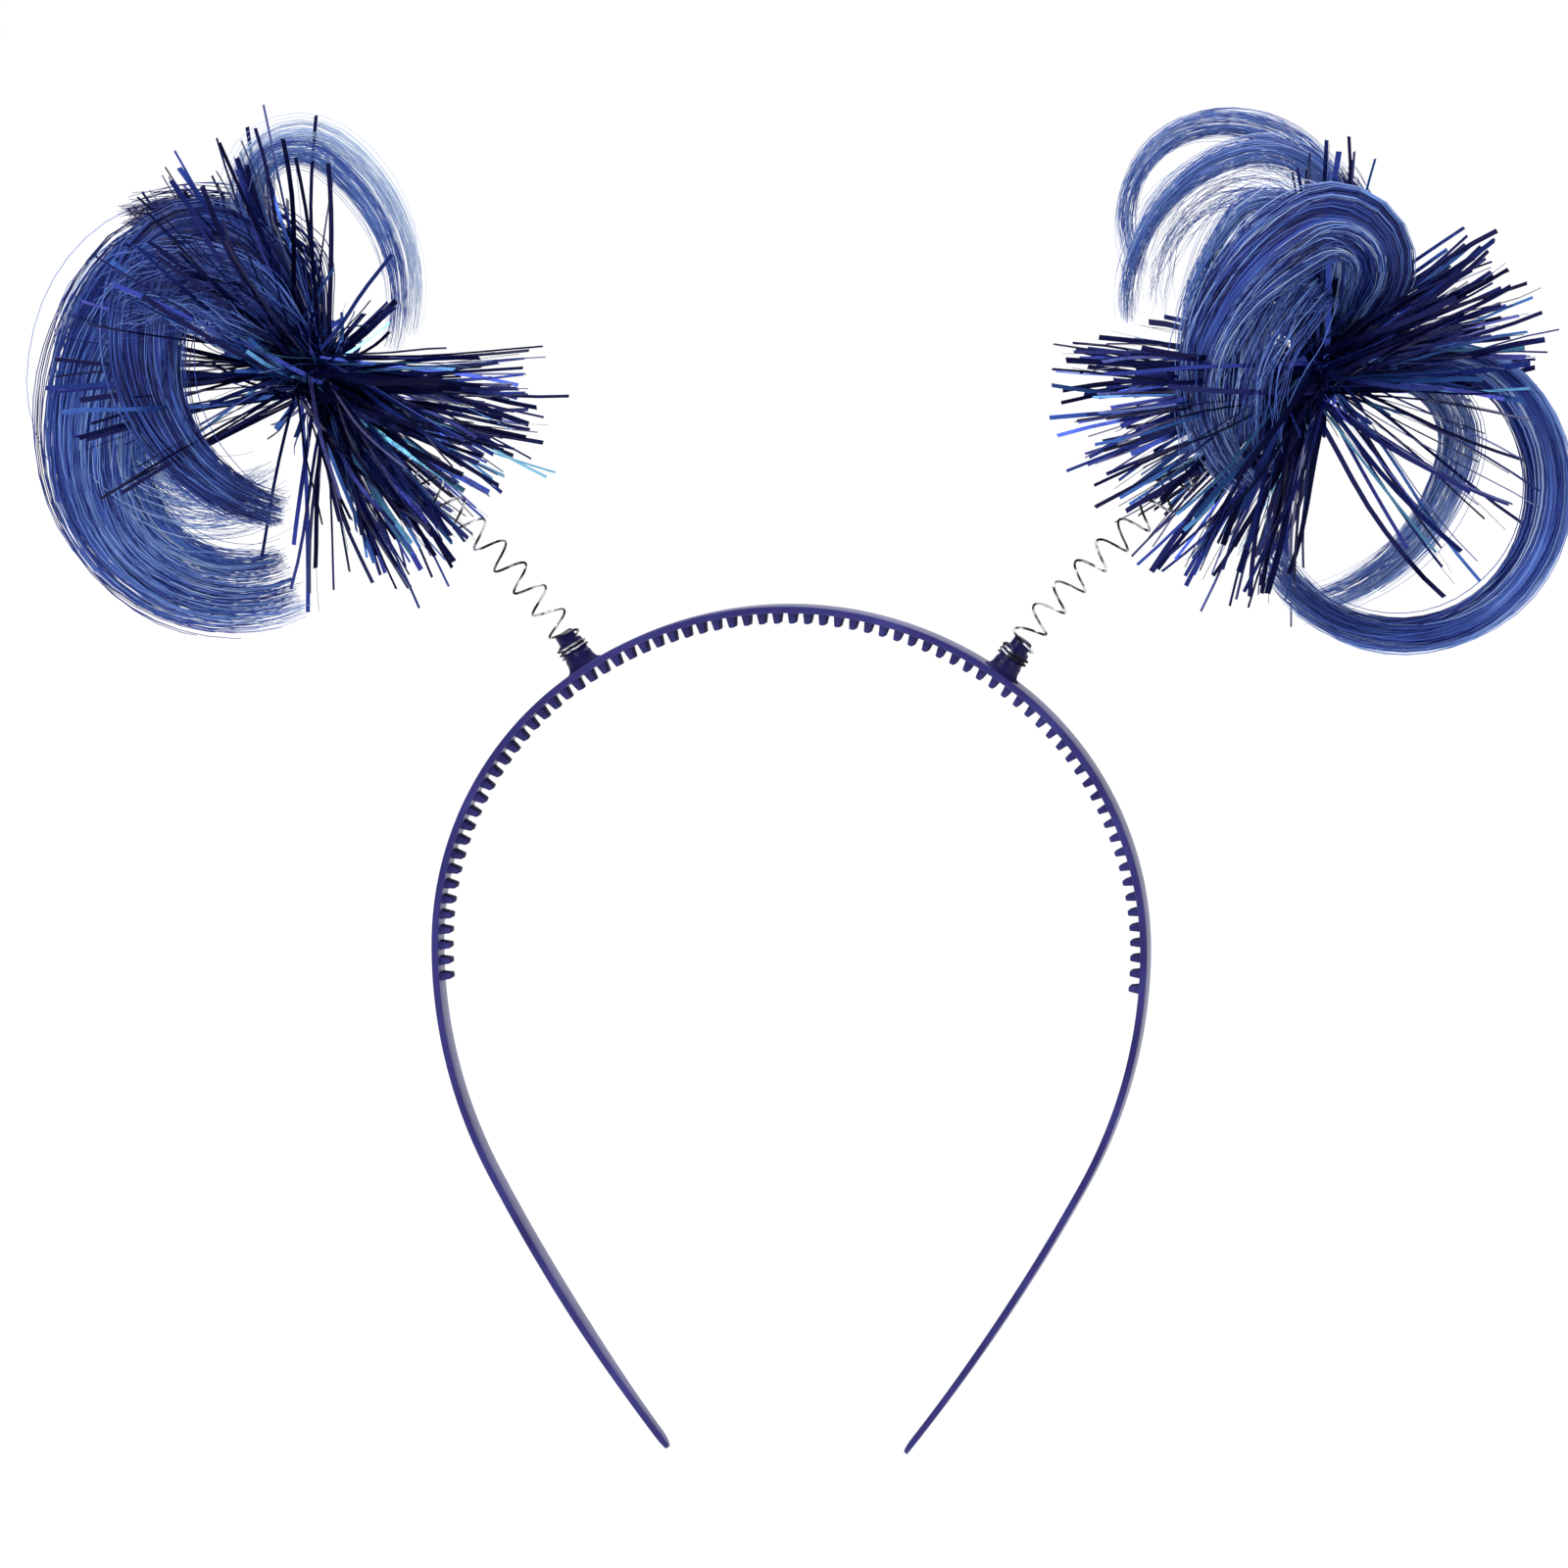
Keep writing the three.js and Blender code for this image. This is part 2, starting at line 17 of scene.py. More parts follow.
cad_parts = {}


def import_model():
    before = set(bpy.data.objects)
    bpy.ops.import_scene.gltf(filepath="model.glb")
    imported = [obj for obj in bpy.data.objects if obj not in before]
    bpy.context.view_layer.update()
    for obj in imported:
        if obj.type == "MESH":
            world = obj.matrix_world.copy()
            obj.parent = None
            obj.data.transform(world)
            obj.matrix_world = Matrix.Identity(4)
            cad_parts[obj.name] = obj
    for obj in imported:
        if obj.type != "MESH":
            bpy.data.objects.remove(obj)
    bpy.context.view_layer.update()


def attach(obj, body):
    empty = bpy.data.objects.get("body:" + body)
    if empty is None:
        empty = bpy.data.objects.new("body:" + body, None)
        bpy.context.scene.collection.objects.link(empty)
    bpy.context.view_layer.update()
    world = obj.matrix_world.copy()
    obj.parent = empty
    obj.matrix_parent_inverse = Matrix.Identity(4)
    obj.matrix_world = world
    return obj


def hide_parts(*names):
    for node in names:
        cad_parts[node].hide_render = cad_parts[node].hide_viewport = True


LOG = logging.getLogger("head_bopper")
Colour = tuple[float, float, float]
Stops = tuple[tuple[float, Colour], ...]
MM = 0.001
BACK = Vector((0.0, 1.0, 0.0))
BODY = "root"


class Slot(Enum):
    """Names of the material slots."""

    PLASTIC = "band_plastic"
    WIRE = "spring_wire"
    FOIL = "blue_foil"
    HAIR = "hair_fibre"


def smooth_share(value: float, low: float, high: float) -> float:
    """Eased share of the way from low to high.

    Args:
        value: Where to read it.
        low: Value at and below which the share is 0.
        high: Value at and above which the share is 1.

    Returns:
        The eased share, 0 to 1.
    """
    share = min(max((value - low) / (high - low), 0.0), 1.0)
    return share * share * (3.0 - 2.0 * share)


def mix(low: float, high: float, share: float) -> float:
    """Value at a share of the way from low to high.

    Args:
        low: Value at share 0.
        high: Value at share 1.
        share: The share.

    Returns:
        The value between.
    """
    return low + (high - low) * share


def direction(bearing: float, lean: float = 0.0) -> Vector:
    """Unit direction seen from the front.

    Args:
        bearing: Degrees, counter-clockwise from +X.
        lean: Degrees towards the back.

    Returns:
        The unit vector.
    """
    turn, rise = math.radians(bearing), math.radians(lean)
    return Vector((math.cos(turn) * math.cos(rise), math.sin(rise), math.sin(turn) * math.cos(rise)))


def circle(centre: Vector, first: Vector, second: Vector, radius: float,
           sides: int) -> list[Vector]:
    """Points round a circle.

    Args:
        centre: Its centre.
        first: Unit direction of its first point.
        second: Unit direction a quarter turn on.
        radius: Its radius.
        sides: How many points it has.

    Returns:
        The points, in order.
    """
    return [centre + (first * math.cos(angle) + second * math.sin(angle)) * radius
            for angle in (math.tau * side / sides for side in range(sides))]


@dataclass(frozen=True)
class Leg:
    """One stretch of a planar path: an arc of a radius through a turn, or a straight run."""

    run: float = 0.0
    radius: float = 0.0
    turn: float = 0.0

    @property
    def length(self) -> float:
        """Length of the stretch, in millimetres."""
        return self.run if not self.turn else self.radius * abs(math.radians(self.turn))

    def along(self, start: Vector, bearing: float, distance: float) -> Vector:
        """Point on the stretch.

        Args:
            start: Where the stretch starts.
            bearing: Its bearing there, in degrees.
            distance: Distance from the start.

        Returns:
            The point.
        """
        if not self.turn:
            return start + direction(bearing) * distance
        side = math.copysign(1.0, self.turn)
        swept = bearing + side * math.degrees(distance / self.radius)
        return start + (direction(bearing + 90.0) - direction(swept + 90.0)) * side * self.radius


class PlanarPath:
    """Chain of straight runs and arcs in the XZ plane, from the origin."""

    def __init__(self, heading: float, legs: list[Leg]) -> None:
        """Lays the legs end to end.

        Args:
            heading: Bearing at the start, in degrees.
            legs: The stretches, in order.
        """
        self.starts: list[tuple[float, Vector, float, Leg]] = []
        self.length = 0.0
        point = Vector((0.0, 0.0, 0.0))
        for leg in legs:
            self.starts.append((self.length, point, heading, leg))
            point = leg.along(point, heading, leg.length)
            heading += leg.turn
            self.length += leg.length

    def place(self, distance: float) -> tuple[Vector, float]:
        """Point and heading at a distance along the path.

        Args:
            distance: Millimetres from the start.

        Returns:
            The point and the heading in degrees.
        """
        start, point, heading, leg = [row for row in self.starts if row[0] <= distance + 1e-9][-1]
        share = (distance - start) / leg.length if leg.length else 0.0
        return leg.along(point, heading, distance - start), heading + leg.turn * share


class MeshKit:
    """Closed meshes from rings, in millimetres, and the objects made of them."""

    @staticmethod
    def loft(name: str, rings: list[list[Vector]]) -> bpy.types.Mesh:
        """Skin over rings of as many points each, with a flat cap at both ends.

        Args:
            name: Name of the mesh.
            rings: Rings, counter-clockwise when looked at from the loft's end.

        Returns:
            The mesh, in metres.
        """
        sides = len(rings[0])
        verts = [tuple(point * MM) for ring in rings for point in ring]
        faces: list[tuple[int, ...]] = []
        for ring in range(len(rings) - 1):
            for side in range(sides):
                low, high = ring * sides, (ring + 1) * sides
                after = (side + 1) % sides
                faces.append((low + side, low + after, high + after, high + side))
        faces.append(tuple(range(sides - 1, -1, -1)))
        faces.append(tuple(range((len(rings) - 1) * sides, len(rings) * sides)))
        mesh = bpy.data.meshes.new(name)
        mesh.from_pydata(verts, [], faces)
        mesh.validate()
        return mesh

    @staticmethod
    def line(name: str, points: list[Vector], floats: dict[str, list[float]],
             vectors: dict[str, list[Vector]]) -> bpy.types.Object:
        """Chain of edges that carries values, for a node tree to build on.

        Args:
            name: Name of the object.
            points: Points in millimetres.
            floats: Named numbers for each point.
            vectors: Named vectors for each point.

        Returns:
            The object, linked to the scene.
        """
        mesh = bpy.data.meshes.new(name)
        edges = [(index, index + 1) for index in range(len(points) - 1)]
        mesh.from_pydata([tuple(point * MM) for point in points], edges, [])
        for key, values in floats.items():
            mesh.attributes.new(key, "FLOAT", "POINT").data.foreach_set("value", values)
        for key, rows in vectors.items():
            flat = [part for row in rows for part in row]
            mesh.attributes.new(key, "FLOAT_VECTOR", "POINT").data.foreach_set("vector", flat)
        return MeshKit.stand(name, mesh)

    @staticmethod
    def stand(name: str, mesh: bpy.types.Mesh) -> bpy.types.Object:
        """Object for a mesh, linked to the scene, at the origin."""
        piece = bpy.data.objects.new(name, mesh)
        bpy.context.scene.collection.objects.link(piece)
        return piece

    @staticmethod
    def fuse(name: str, meshes: list[bpy.types.Mesh], smooth: bool) -> bpy.types.Object:
        """One object from several meshes, whose own data are then removed.

        Args:
            name: Name of the piece.
            meshes: What it is made of.
            smooth: True for smooth shading all over.

        Returns:
            The object.
        """
        whole = bmesh.new()
        materials: list[bpy.types.Material] = []
        for mesh in meshes:
            offset = len(whole.faces)
            whole.from_mesh(mesh)
            whole.faces.ensure_lookup_table()
            slots = []
            for material in mesh.materials:
                if material not in materials:
                    materials.append(material)
                slots.append(materials.index(material))
            for face in whole.faces[offset:]:
                if slots:
                    face.material_index = slots[min(face.material_index, len(slots) - 1)]
        for face in whole.faces:
            face.smooth = smooth
        result = bpy.data.meshes.new(name)
        whole.to_mesh(result)
        whole.free()
        for material in materials:
            result.materials.append(material)
        for mesh in meshes:
            bpy.data.meshes.remove(mesh)
        return MeshKit.stand(name, result)


class Wiring:
    """What the builders of node trees and of materials share."""

    def __init__(self, tree: bpy.types.NodeTree) -> None:
        """Takes a tree to build in.

        Args:
            tree: Where the nodes go.
        """
        self.tree = tree

    @staticmethod
    def live(sockets: bpy.types.bpy_prop_collection, key: str | int) -> bpy.types.NodeSocket:
        """The socket in use among those that share a name.

        Args:
            sockets: A node's inputs or outputs.
            key: Name or place of the socket.

        Returns:
            The socket.
        """
        if isinstance(key, int):
            return sockets[key]
        return next(item for item in sockets if item.name == key and item.enabled)

    def feed(self, socket: bpy.types.NodeSocket, value: object) -> None:
        """Links a socket to an input, or sets the input's own value.

        Args:
            socket: The input.
            value: A socket or a plain value.
        """
        if isinstance(value, bpy.types.NodeSocket):
            self.tree.links.new(value, socket)
        else:
            socket.default_value = value

    def add(self, kind: str, feeds: dict[str | int, object] | None = None,
            **options: object) -> bpy.types.Node:
        """Adds a node.

        Args:
            kind: Blender's name of the node type.
            feeds: What goes into its inputs, a socket or a plain value each.
            options: The node's own settings.

        Returns:
            The node.
        """
        node = self.tree.nodes.new(kind)
        for key, value in options.items():
            setattr(node, key, value)
        for key, value in (feeds or {}).items():
            self.feed(self.live(node.inputs, key), value)
        return node

    def math(self, operation: str, *terms: object) -> bpy.types.NodeSocket:
        """Result of a number operation on up to three terms."""
        return self.add("ShaderNodeMath", dict(enumerate(terms)), operation=operation).outputs[0]

    def plus(self, first: object, second: object) -> bpy.types.NodeSocket:
        """Sum of two numbers."""
        return self.math("ADD", first, second)

    def times(self, first: object, second: object) -> bpy.types.NodeSocket:
        """Product of two numbers."""
        return self.math("MULTIPLY", first, second)


class NodeKit(Wiring):
    """Builder round one Geometry Nodes tree, with named inputs for its sizes."""

    def __init__(self, name: str) -> None:
        """Starts a tree with a geometry input and output.

        Args:
            name: Name of the tree.
        """
        super().__init__(bpy.data.node_groups.new(name, "GeometryNodeTree"))
        for way in ("INPUT", "OUTPUT"):
            self.tree.interface.new_socket(
                "Geometry", in_out=way, socket_type="NodeSocketGeometry")
        self.source = self.add("NodeGroupInput")
        self.result = self.add("NodeGroupOutput")
        self.keys: dict[str, str] = {}

    def size(self, name: str, kind: str = "Float") -> bpy.types.NodeSocket:
        """Named input of the tree.

        Args:
            name: What the input is called.
            kind: Float, Int, Vector or Object.

        Returns:
            The socket that gives its value inside the tree.
        """
        socket = self.tree.interface.new_socket(
            name, in_out="INPUT", socket_type=f"NodeSocket{kind}")
        self.keys[name] = socket.identifier
        return self.source.outputs[name]

    def sizes(self, *names: str) -> list[bpy.types.NodeSocket]:
        """Several named numbers in a row, as inputs of the tree."""
        return [self.size(name) for name in names]

    def vector(self, operation: str, *terms: object) -> bpy.types.NodeSocket:
        """Result of a vector operation, a number for a dot product."""
        node = self.add("ShaderNodeVectorMath", dict(enumerate(terms)), operation=operation)
        return node.outputs["Value" if operation == "DOT_PRODUCT" else "Vector"]

    def scaled(self, vector: object, factor: object) -> bpy.types.NodeSocket:
        """A vector times a number."""
        node = self.add("ShaderNodeVectorMath", {0: vector, "Scale": factor}, operation="SCALE")
        return node.outputs["Vector"]

    def join_xyz(self, x: object, y: object, z: object) -> bpy.types.NodeSocket:
        """Vector from three numbers."""
        return self.add("ShaderNodeCombineXYZ", {0: x, 1: y, 2: z}).outputs[0]

    def named(self, name: str, kind: str = "FLOAT") -> bpy.types.NodeSocket:
        """Value stored on the geometry under a name."""
        node = self.add("GeometryNodeInputNamedAttribute", {"Name": name}, data_type=kind)
        return self.live(node.outputs, "Attribute")

    def random(self, low: float, high: float, seed: object, number: object) -> bpy.types.NodeSocket:
        """Random number that stays the same for the same seed and number.

        Args:
            low: Lowest value.
            high: Highest value.
            seed: Fixed seed.
            number: What tells the copies apart.

        Returns:
            The socket that gives it.
        """
        node = self.add("FunctionNodeRandomValue",
                        {"Min": low, "Max": high, "ID": number, "Seed": seed}, data_type="FLOAT")
        return self.live(node.outputs, "Value")

    def keep(self, geometry: object, name: str, value: object, domain: str,
             kind: str = "FLOAT") -> bpy.types.NodeSocket:
        """Stores a value on the geometry under a name.

        Args:
            geometry: The geometry.
            name: Name of the value.
            value: The value.
            domain: Where it is stored.
            kind: Its type.

        Returns:
            The geometry with the value.
        """
        node = self.add("GeometryNodeStoreNamedAttribute",
                        {"Geometry": geometry, "Name": name, "Value": value},
                        data_type=kind, domain=domain)
        return node.outputs["Geometry"]

    def finish(self, geometry: object, material: bpy.types.Material) -> None:
        """Ends the tree in real geometry with its material.

        Args:
            geometry: What the tree made.
            material: The finish that it takes.
        """
        real = self.add("GeometryNodeRealizeInstances", {"Geometry": geometry})
        dressed = self.add("GeometryNodeSetMaterial",
                           {"Geometry": real.outputs[0], "Material": material})
        self.feed(self.result.inputs[0], dressed.outputs[0])

    def attach(self, piece: bpy.types.Object, sizes: dict[str, object]) -> None:
        """Puts the tree on a piece with its sizes.

        Args:
            piece: The object.
            sizes: A value for each named input.
        """
        modifier = piece.modifiers.new(self.tree.name, "NODES")
        modifier.node_group = self.tree
        for name, value in sizes.items():
            modifier[self.keys[name]] = value

    @staticmethod
    def bake(piece: bpy.types.Object) -> bpy.types.Mesh:
        """Plain mesh of what a piece's trees make; the piece itself is removed.

        Args:
            piece: Object with the trees on it.

        Returns:
            The mesh.
        """
        graph = bpy.context.evaluated_depsgraph_get()
        mesh = bpy.data.meshes.new_from_object(
            piece.evaluated_get(graph), preserve_all_data_layers=True, depsgraph=graph)
        base = piece.data
        bpy.data.objects.remove(piece)
        bpy.data.meshes.remove(base)
        return mesh


class ShaderKit(Wiring):
    """Builder round one material's nodes."""

    def __init__(self, name: str) -> None:
        """Starts a material with its one surface shader.

        Args:
            name: Name of the material.
        """
        self.material = bpy.data.materials.new(name)
        self.material.use_nodes = True
        super().__init__(self.material.node_tree)
        self.shader = self.tree.nodes["Principled BSDF"]

    def surface(self, feeds: dict[str, object]) -> bpy.types.Material:
        """Sets the surface shader's inputs and ends the material.

        Args:
            feeds: A socket or a plain value for each input.

        Returns:
            The material.
        """
        for key, value in feeds.items():
            self.feed(self.shader.inputs[key], value)
        return self.material

    def stored(self, name: str) -> bpy.types.NodeSocket:
        """Number that the mesh carries under a name."""
        return self.add("ShaderNodeAttribute", attribute_name=name).outputs["Fac"]

    def noise(self, scale: float, detail: float,
              stretch: tuple[float, float, float] = (1, 1, 1)) -> bpy.types.NodeSocket:
        """Noise on the piece's own place.

        Args:
            scale: Grains to the metre.
            detail: How many finer layers it has.
            stretch: Share of the scale along each axis.

        Returns:
            The noise's value.
        """
        place = self.add("ShaderNodeTexCoord").outputs["Object"]
        turned = self.add("ShaderNodeMapping", {"Vector": place, "Scale": stretch}).outputs[0]
        feeds = {"Vector": turned, "Scale": scale, "Detail": detail}
        return self.add("ShaderNodeTexNoise", feeds).outputs[0]

    def ramp(self, value: bpy.types.NodeSocket, stops: Stops) -> bpy.types.NodeSocket:
        """Colour from a number.

        Args:
            value: The number, 0 to 1.
            stops: Place and linear colour of each stop.

        Returns:
            The colour.
        """
        node = self.add("ShaderNodeValToRGB", {"Fac": value})
        band = node.color_ramp.elements
        while len(band) < len(stops):
            band.new(0.5)
        for element, (place, colour) in zip(band, stops):
            element.position = place
            element.color = (*colour, 1.0)
        return node.outputs["Color"]

    def range(self, value: bpy.types.NodeSocket, low: float, high: float) -> bpy.types.NodeSocket:
        """Number from 0 to 1 spread from low to high."""
        return self.add("ShaderNodeMapRange",
                        {"Value": value, "To Min": low, "To Max": high}).outputs[0]

    def bump(self, height: bpy.types.NodeSocket, distance: float,
             strength: float) -> bpy.types.NodeSocket:
        """Normal for a fine relief, with its depth in millimetres."""
        feeds = {"Height": height, "Distance": distance * MM, "Strength": strength}
        return self.add("ShaderNodeBump", feeds).outputs[0]


@dataclass(frozen=True)
class MouldedPlastic:
    """Glossy navy-violet moulded plastic with a faint flow pattern, fine scuffs and painted shade."""

    dark: Colour = (0.022, 0.02, 0.13)
    light: Colour = (0.046, 0.043, 0.22)
    # Colour of the painted shade on the teeth's flanks and on the studs.
    painted_shade_colour: Colour = (0.006, 0.005, 0.06)
    flow_scale: float = 90.0
    scuff_scale: float = 2600.0
    scuff_depth: float = 0.02
    matte_gain: float = 0.5

    def build(self) -> bpy.types.Material:
        """Makes the material."""
        kit = ShaderKit("moulded_plastic")
        flow = kit.noise(self.flow_scale, 3.0, (1.0, 0.35, 1.0))
        scuff = kit.noise(self.scuff_scale, 4.0)
        colour = kit.ramp(flow, ((0.3, self.dark), (0.72, self.light)))
        # Painted shade: the colour is mixed towards the deep colour by the stored shade share.
        toned = kit.add("ShaderNodeMix", {
            "Factor": kit.stored("shade"), "A": colour, "B": (*self.painted_shade_colour, 1.0)}, data_type="RGBA")
        return kit.surface({
            "Base Color": kit.live(toned.outputs, "Result"),
            "Roughness": kit.math("MULTIPLY_ADD", kit.stored("matte"), self.matte_gain,
                                  kit.range(scuff, 0.24, 0.4)),
            "Specular IOR Level": 0.15,
            "Normal": kit.bump(scuff, self.scuff_depth, 0.25),
        })


@dataclass(frozen=True)
class SpringWire:
    """Drawn steel wire with painted dark reflections and painted glints in stretches along it."""

    # Near black, grey and near white along the wire: painted dark reflections and painted glints.
    stops: Stops = ((0.4, (0.02, 0.02, 0.023)), (0.5, (0.16, 0.16, 0.17)), (0.6, (0.85, 0.85, 0.87)))
    edge_tint: Colour = (0.35, 0.35, 0.37)
    reflection_stretch_scale: float = 420.0
    grain_scale: float = 1500.0
    grain_depth: float = 0.01

    def build(self) -> bpy.types.Material:
        """Makes the material."""
        kit = ShaderKit("spring_wire")
        grain = kit.noise(self.grain_scale, 4.0)
        return kit.surface({
            "Base Color": kit.ramp(kit.noise(self.reflection_stretch_scale, 1.0), self.stops),
            "Metallic": 0.9,
            "Specular Tint": (*self.edge_tint, 1.0),
            "Specular IOR Level": 0.2,
            "Roughness": kit.range(grain, 0.2, 0.34),
            "Normal": kit.bump(grain, self.grain_depth, 0.2),
        })


@dataclass(frozen=True)
class BlueFoil:
    """Metallised film strips: nearly black navy, bright blue or cyan, strip by strip."""

    # Tone differs at random from strip to strip; the bright blue and cyan strips are partly painted
    # glints.
    stops: Stops = (
        (0.0, (0.007, 0.008, 0.065)),
        (0.4, (0.015, 0.022, 0.17)),
        (0.7, (0.028, 0.058, 0.34)),
        (0.9, (0.055, 0.17, 0.52)),
        (1.0, (0.2, 0.6, 0.8)),
    )
    crinkle_scale: float = 900.0
    crinkle_depth: float = 0.12

    def build(self) -> bpy.types.Material:
        """Makes the material."""
        kit = ShaderKit("blue_foil")
        crinkle = kit.noise(self.crinkle_scale, 3.0)
        return kit.surface({
            "Base Color": kit.ramp(kit.stored("tone"), self.stops),
            "Metallic": 0.85,
            "Roughness": kit.range(crinkle, 0.14, 0.34),
            "Normal": kit.bump(crinkle, self.crinkle_depth, 0.35),
        })


@dataclass(frozen=True)
class BlueHair:
    """Silky synthetic hair, a little different from strand to strand."""

    stops: Stops = (
        (0.0, (0.006, 0.01, 0.1)),
        (0.26, (0.019, 0.042, 0.32)),
        (0.5, (0.062, 0.145, 0.58)),
        (0.82, (0.25, 0.42, 0.86)),
        (1.0, (0.55, 0.68, 0.92)),
    )
    patch_scale: float = 70.0
    patch_share: float = 0.5

    def build(self) -> bpy.types.Material:
        """Makes the material."""
        kit = ShaderKit("blue_hair")
        patch = kit.noise(self.patch_scale, 3.0)
        blend = kit.math("MULTIPLY_ADD", patch, self.patch_share, kit.stored("tone"))
        shifted = kit.math("SUBTRACT", blend, self.patch_share / 2)
        return kit.surface({
            "Base Color": kit.ramp(shifted, self.stops),
            "Roughness": kit.range(patch, 0.26, 0.42),
            "Specular IOR Level": 0.55,
        })


@dataclass(frozen=True)
class PalePaper:
    """Nearly white studio paper with a faint grain."""

    dark: Colour = (0.86, 0.86, 0.87)
    light: Colour = (0.9, 0.9, 0.9)
    grain_scale: float = 40.0

    def build(self) -> bpy.types.Material:
        """Makes the material."""
        kit = ShaderKit("pale_paper")
        grain = kit.noise(self.grain_scale, 2.0)
        return kit.surface({
            "Base Color": kit.ramp(grain, ((0.3, self.dark), (0.7, self.light))),
            "Roughness": 0.9,
        })


@dataclass
class Headband:
    """The moulding: an arch with rounded tips, the comb inside it and two studs."""

    material: bpy.types.Material
    crown_radius: float = 65.3
    crown_sweep: float = 38.3
    temple_radius: float = 58.0
    ear_radius: float = 85.0
    ear_sweep: float = 28.4
    arm_radius: float = 340.0
    arm_sweep: float = 9.6
    thickness: float = 1.25
    arm_thickness: float = 1.2
    depth: float = 8.0
    tip_depth: float = 4.6
    tip_thickness: float = 1.1
    tip_taper: float = 34.0
    tip_round: float = 3.0
    edge_round: float = 0.35
    step: float = 1.4
    tooth_pitch: float = 2.76
    tooth_height: float = 1.9
    tooth_root: float = 1.7
    tooth_tip: float = 0.95
    tooth_depth: float = 4.6
    tooth_sink: float = 0.4
    tooth_bevel: float = 0.2
    comb_reach: float = 102.5
    stud_place: float = 38.7
    stud_height: float = 6.9
    stud_flare: float = 3.2
    stud_shoulder: float = 2.5
    stud_barrel: float = 2.3
    stud_nose: float = 1.75
    stud_hub: float = 0.02
    stud_sink: float = 0.8
    stud_sides: int = 40
    stud_painted_shade: float = 0.95
    shoulder_height: float = 2.3
    nose_height: float = 5.0
    foot_matte: tuple[float, float] = (0.3, 1.6)
    flank_turn: tuple[float, float] = (0.6, 0.95)
    tip_flat: float = 0.9
    tip_shares: tuple[float, ...] = (0.25, 0.5, 0.7, 0.85, 0.95, 1.0)
    corner_steps: int = 3
    comb_steps: int = 120
    sharp_angle: float = 38.0
    path: PlanarPath = field(init=False)

    def __post_init__(self) -> None:
        """Works out the outer face's line, from the crown to a tip."""
        self.path = PlanarPath(0.0, [
            Leg(radius=self.crown_radius, turn=-self.crown_sweep),
            Leg(radius=self.temple_radius, turn=self.crown_sweep - 90.0),
            Leg(radius=self.ear_radius, turn=-self.ear_sweep),
            Leg(radius=self.arm_radius, turn=-self.arm_sweep),
        ])

    @property
    def crown_height(self) -> float:
        """Height of the outer face at the crown."""
        return self.thickness + self.tooth_height

    def place(self, distance: float) -> tuple[Vector, Vector]:
        """Point of the outer face and its outward normal.

        Args:
            distance: Millimetres from the crown along the face, positive to +X.

        Returns:
            The point and the unit normal.
        """
        point, heading = self.path.place(min(abs(distance), self.path.length))
        normal = direction(heading + 90.0)
        point = point + Vector((0.0, 0.0, self.crown_height))
        if distance < 0:
            point.x, normal.x = -point.x, -normal.x
        return point, normal

    def section(self, distance: float) -> tuple[float, float]:
        """Thickness and depth of the arch at a distance from the crown.

        Args:
            distance: Millimetres from the crown.

        Returns:
            Thickness and depth.
        """
        reach = abs(distance)
        left = self.path.length - reach
        tip = 1.0 - smooth_share(left, 0.0, self.tip_taper)
        plain = mix(self.thickness, self.arm_thickness, smooth_share(reach, 0.0, self.comb_reach))
        rounding = 1.0
        if left < self.tip_round:
            rounding = math.sqrt(1.0 - (1.0 - left / self.tip_round) ** 2 * self.tip_flat)
        thick = mix(plain, self.tip_thickness, tip) * (0.5 + 0.5 * rounding)
        return thick, mix(self.depth, self.tip_depth, tip) * rounding

    def ring(self, distance: float) -> list[Vector]:
        """Rounded rectangle of the arch, counter-clockwise towards +X.

        Args:
            distance: Millimetres from the crown.

        Returns:
            The ring's points.
        """
        point, normal = self.place(distance)
        thick, depth = self.section(distance)
        edge = min(self.edge_round, thick * 0.45, depth * 0.3)
        corners = ((0.0, -1.0, 90.0), (-thick, -1.0, 180.0), (-thick, 1.0, 270.0), (0.0, 1.0, 0.0))
        points = []
        for out, side, start in corners:
            base_out = out - edge if out == 0.0 else out + edge
            base_back = side * (depth / 2 - edge)
            for part in range(self.corner_steps + 1):
                angle = math.radians(start + part * 90.0 / self.corner_steps)
                points.append(point
                              + normal * (base_out + edge * math.sin(angle))
                              + BACK * (base_back + edge * math.cos(angle)))
        return points

    def arch(self) -> bpy.types.Mesh:
        """Skin of the arch from tip to tip."""
        plain = self.path.length - self.tip_round
        steps = math.ceil(plain / self.step)
        stations = [plain * index / steps for index in range(-steps, steps + 1)]
        for share in self.tip_shares:
            place = plain + self.tip_round * share
            stations.append(place)
            stations.insert(0, -place)
        mesh = MeshKit.loft("arch", [self.ring(station) for station in stations])
        mesh.materials.append(self.material)
        return self.tone(mesh, 0.0, 0.0)

    @staticmethod
    def tone(mesh: bpy.types.Mesh, shade: float, matte: float) -> bpy.types.Mesh:
        """Stores how much painted shade the plastic takes and how matte it is.

        Args:
            mesh: The mesh.
            shade: Share of painted shade, 0 for the plain colour, 1 for the deepest.
            matte: 0 for glossy, 1 for dull.

        Returns:
            The same mesh.
        """
        for name, value in (("shade", shade), ("matte", matte)):
            layer = mesh.attributes.new(name, "FLOAT", "FACE")
            layer.data.foreach_set("value", [value] * len(mesh.polygons))
        return mesh

    def stud(self, sign: int) -> bpy.types.Mesh:
        """One stud, turned about its axis and stood on the outer face.

        Args:
            sign: 1 for the +X side, -1 for the other.

        Returns:
            The mesh.
        """
        flare = self.stud_flare - self.stud_shoulder
        shoulder, barrel, nose = self.stud_shoulder, self.stud_barrel, self.stud_nose
        ledge, step, top = self.shoulder_height, self.nose_height, self.stud_height
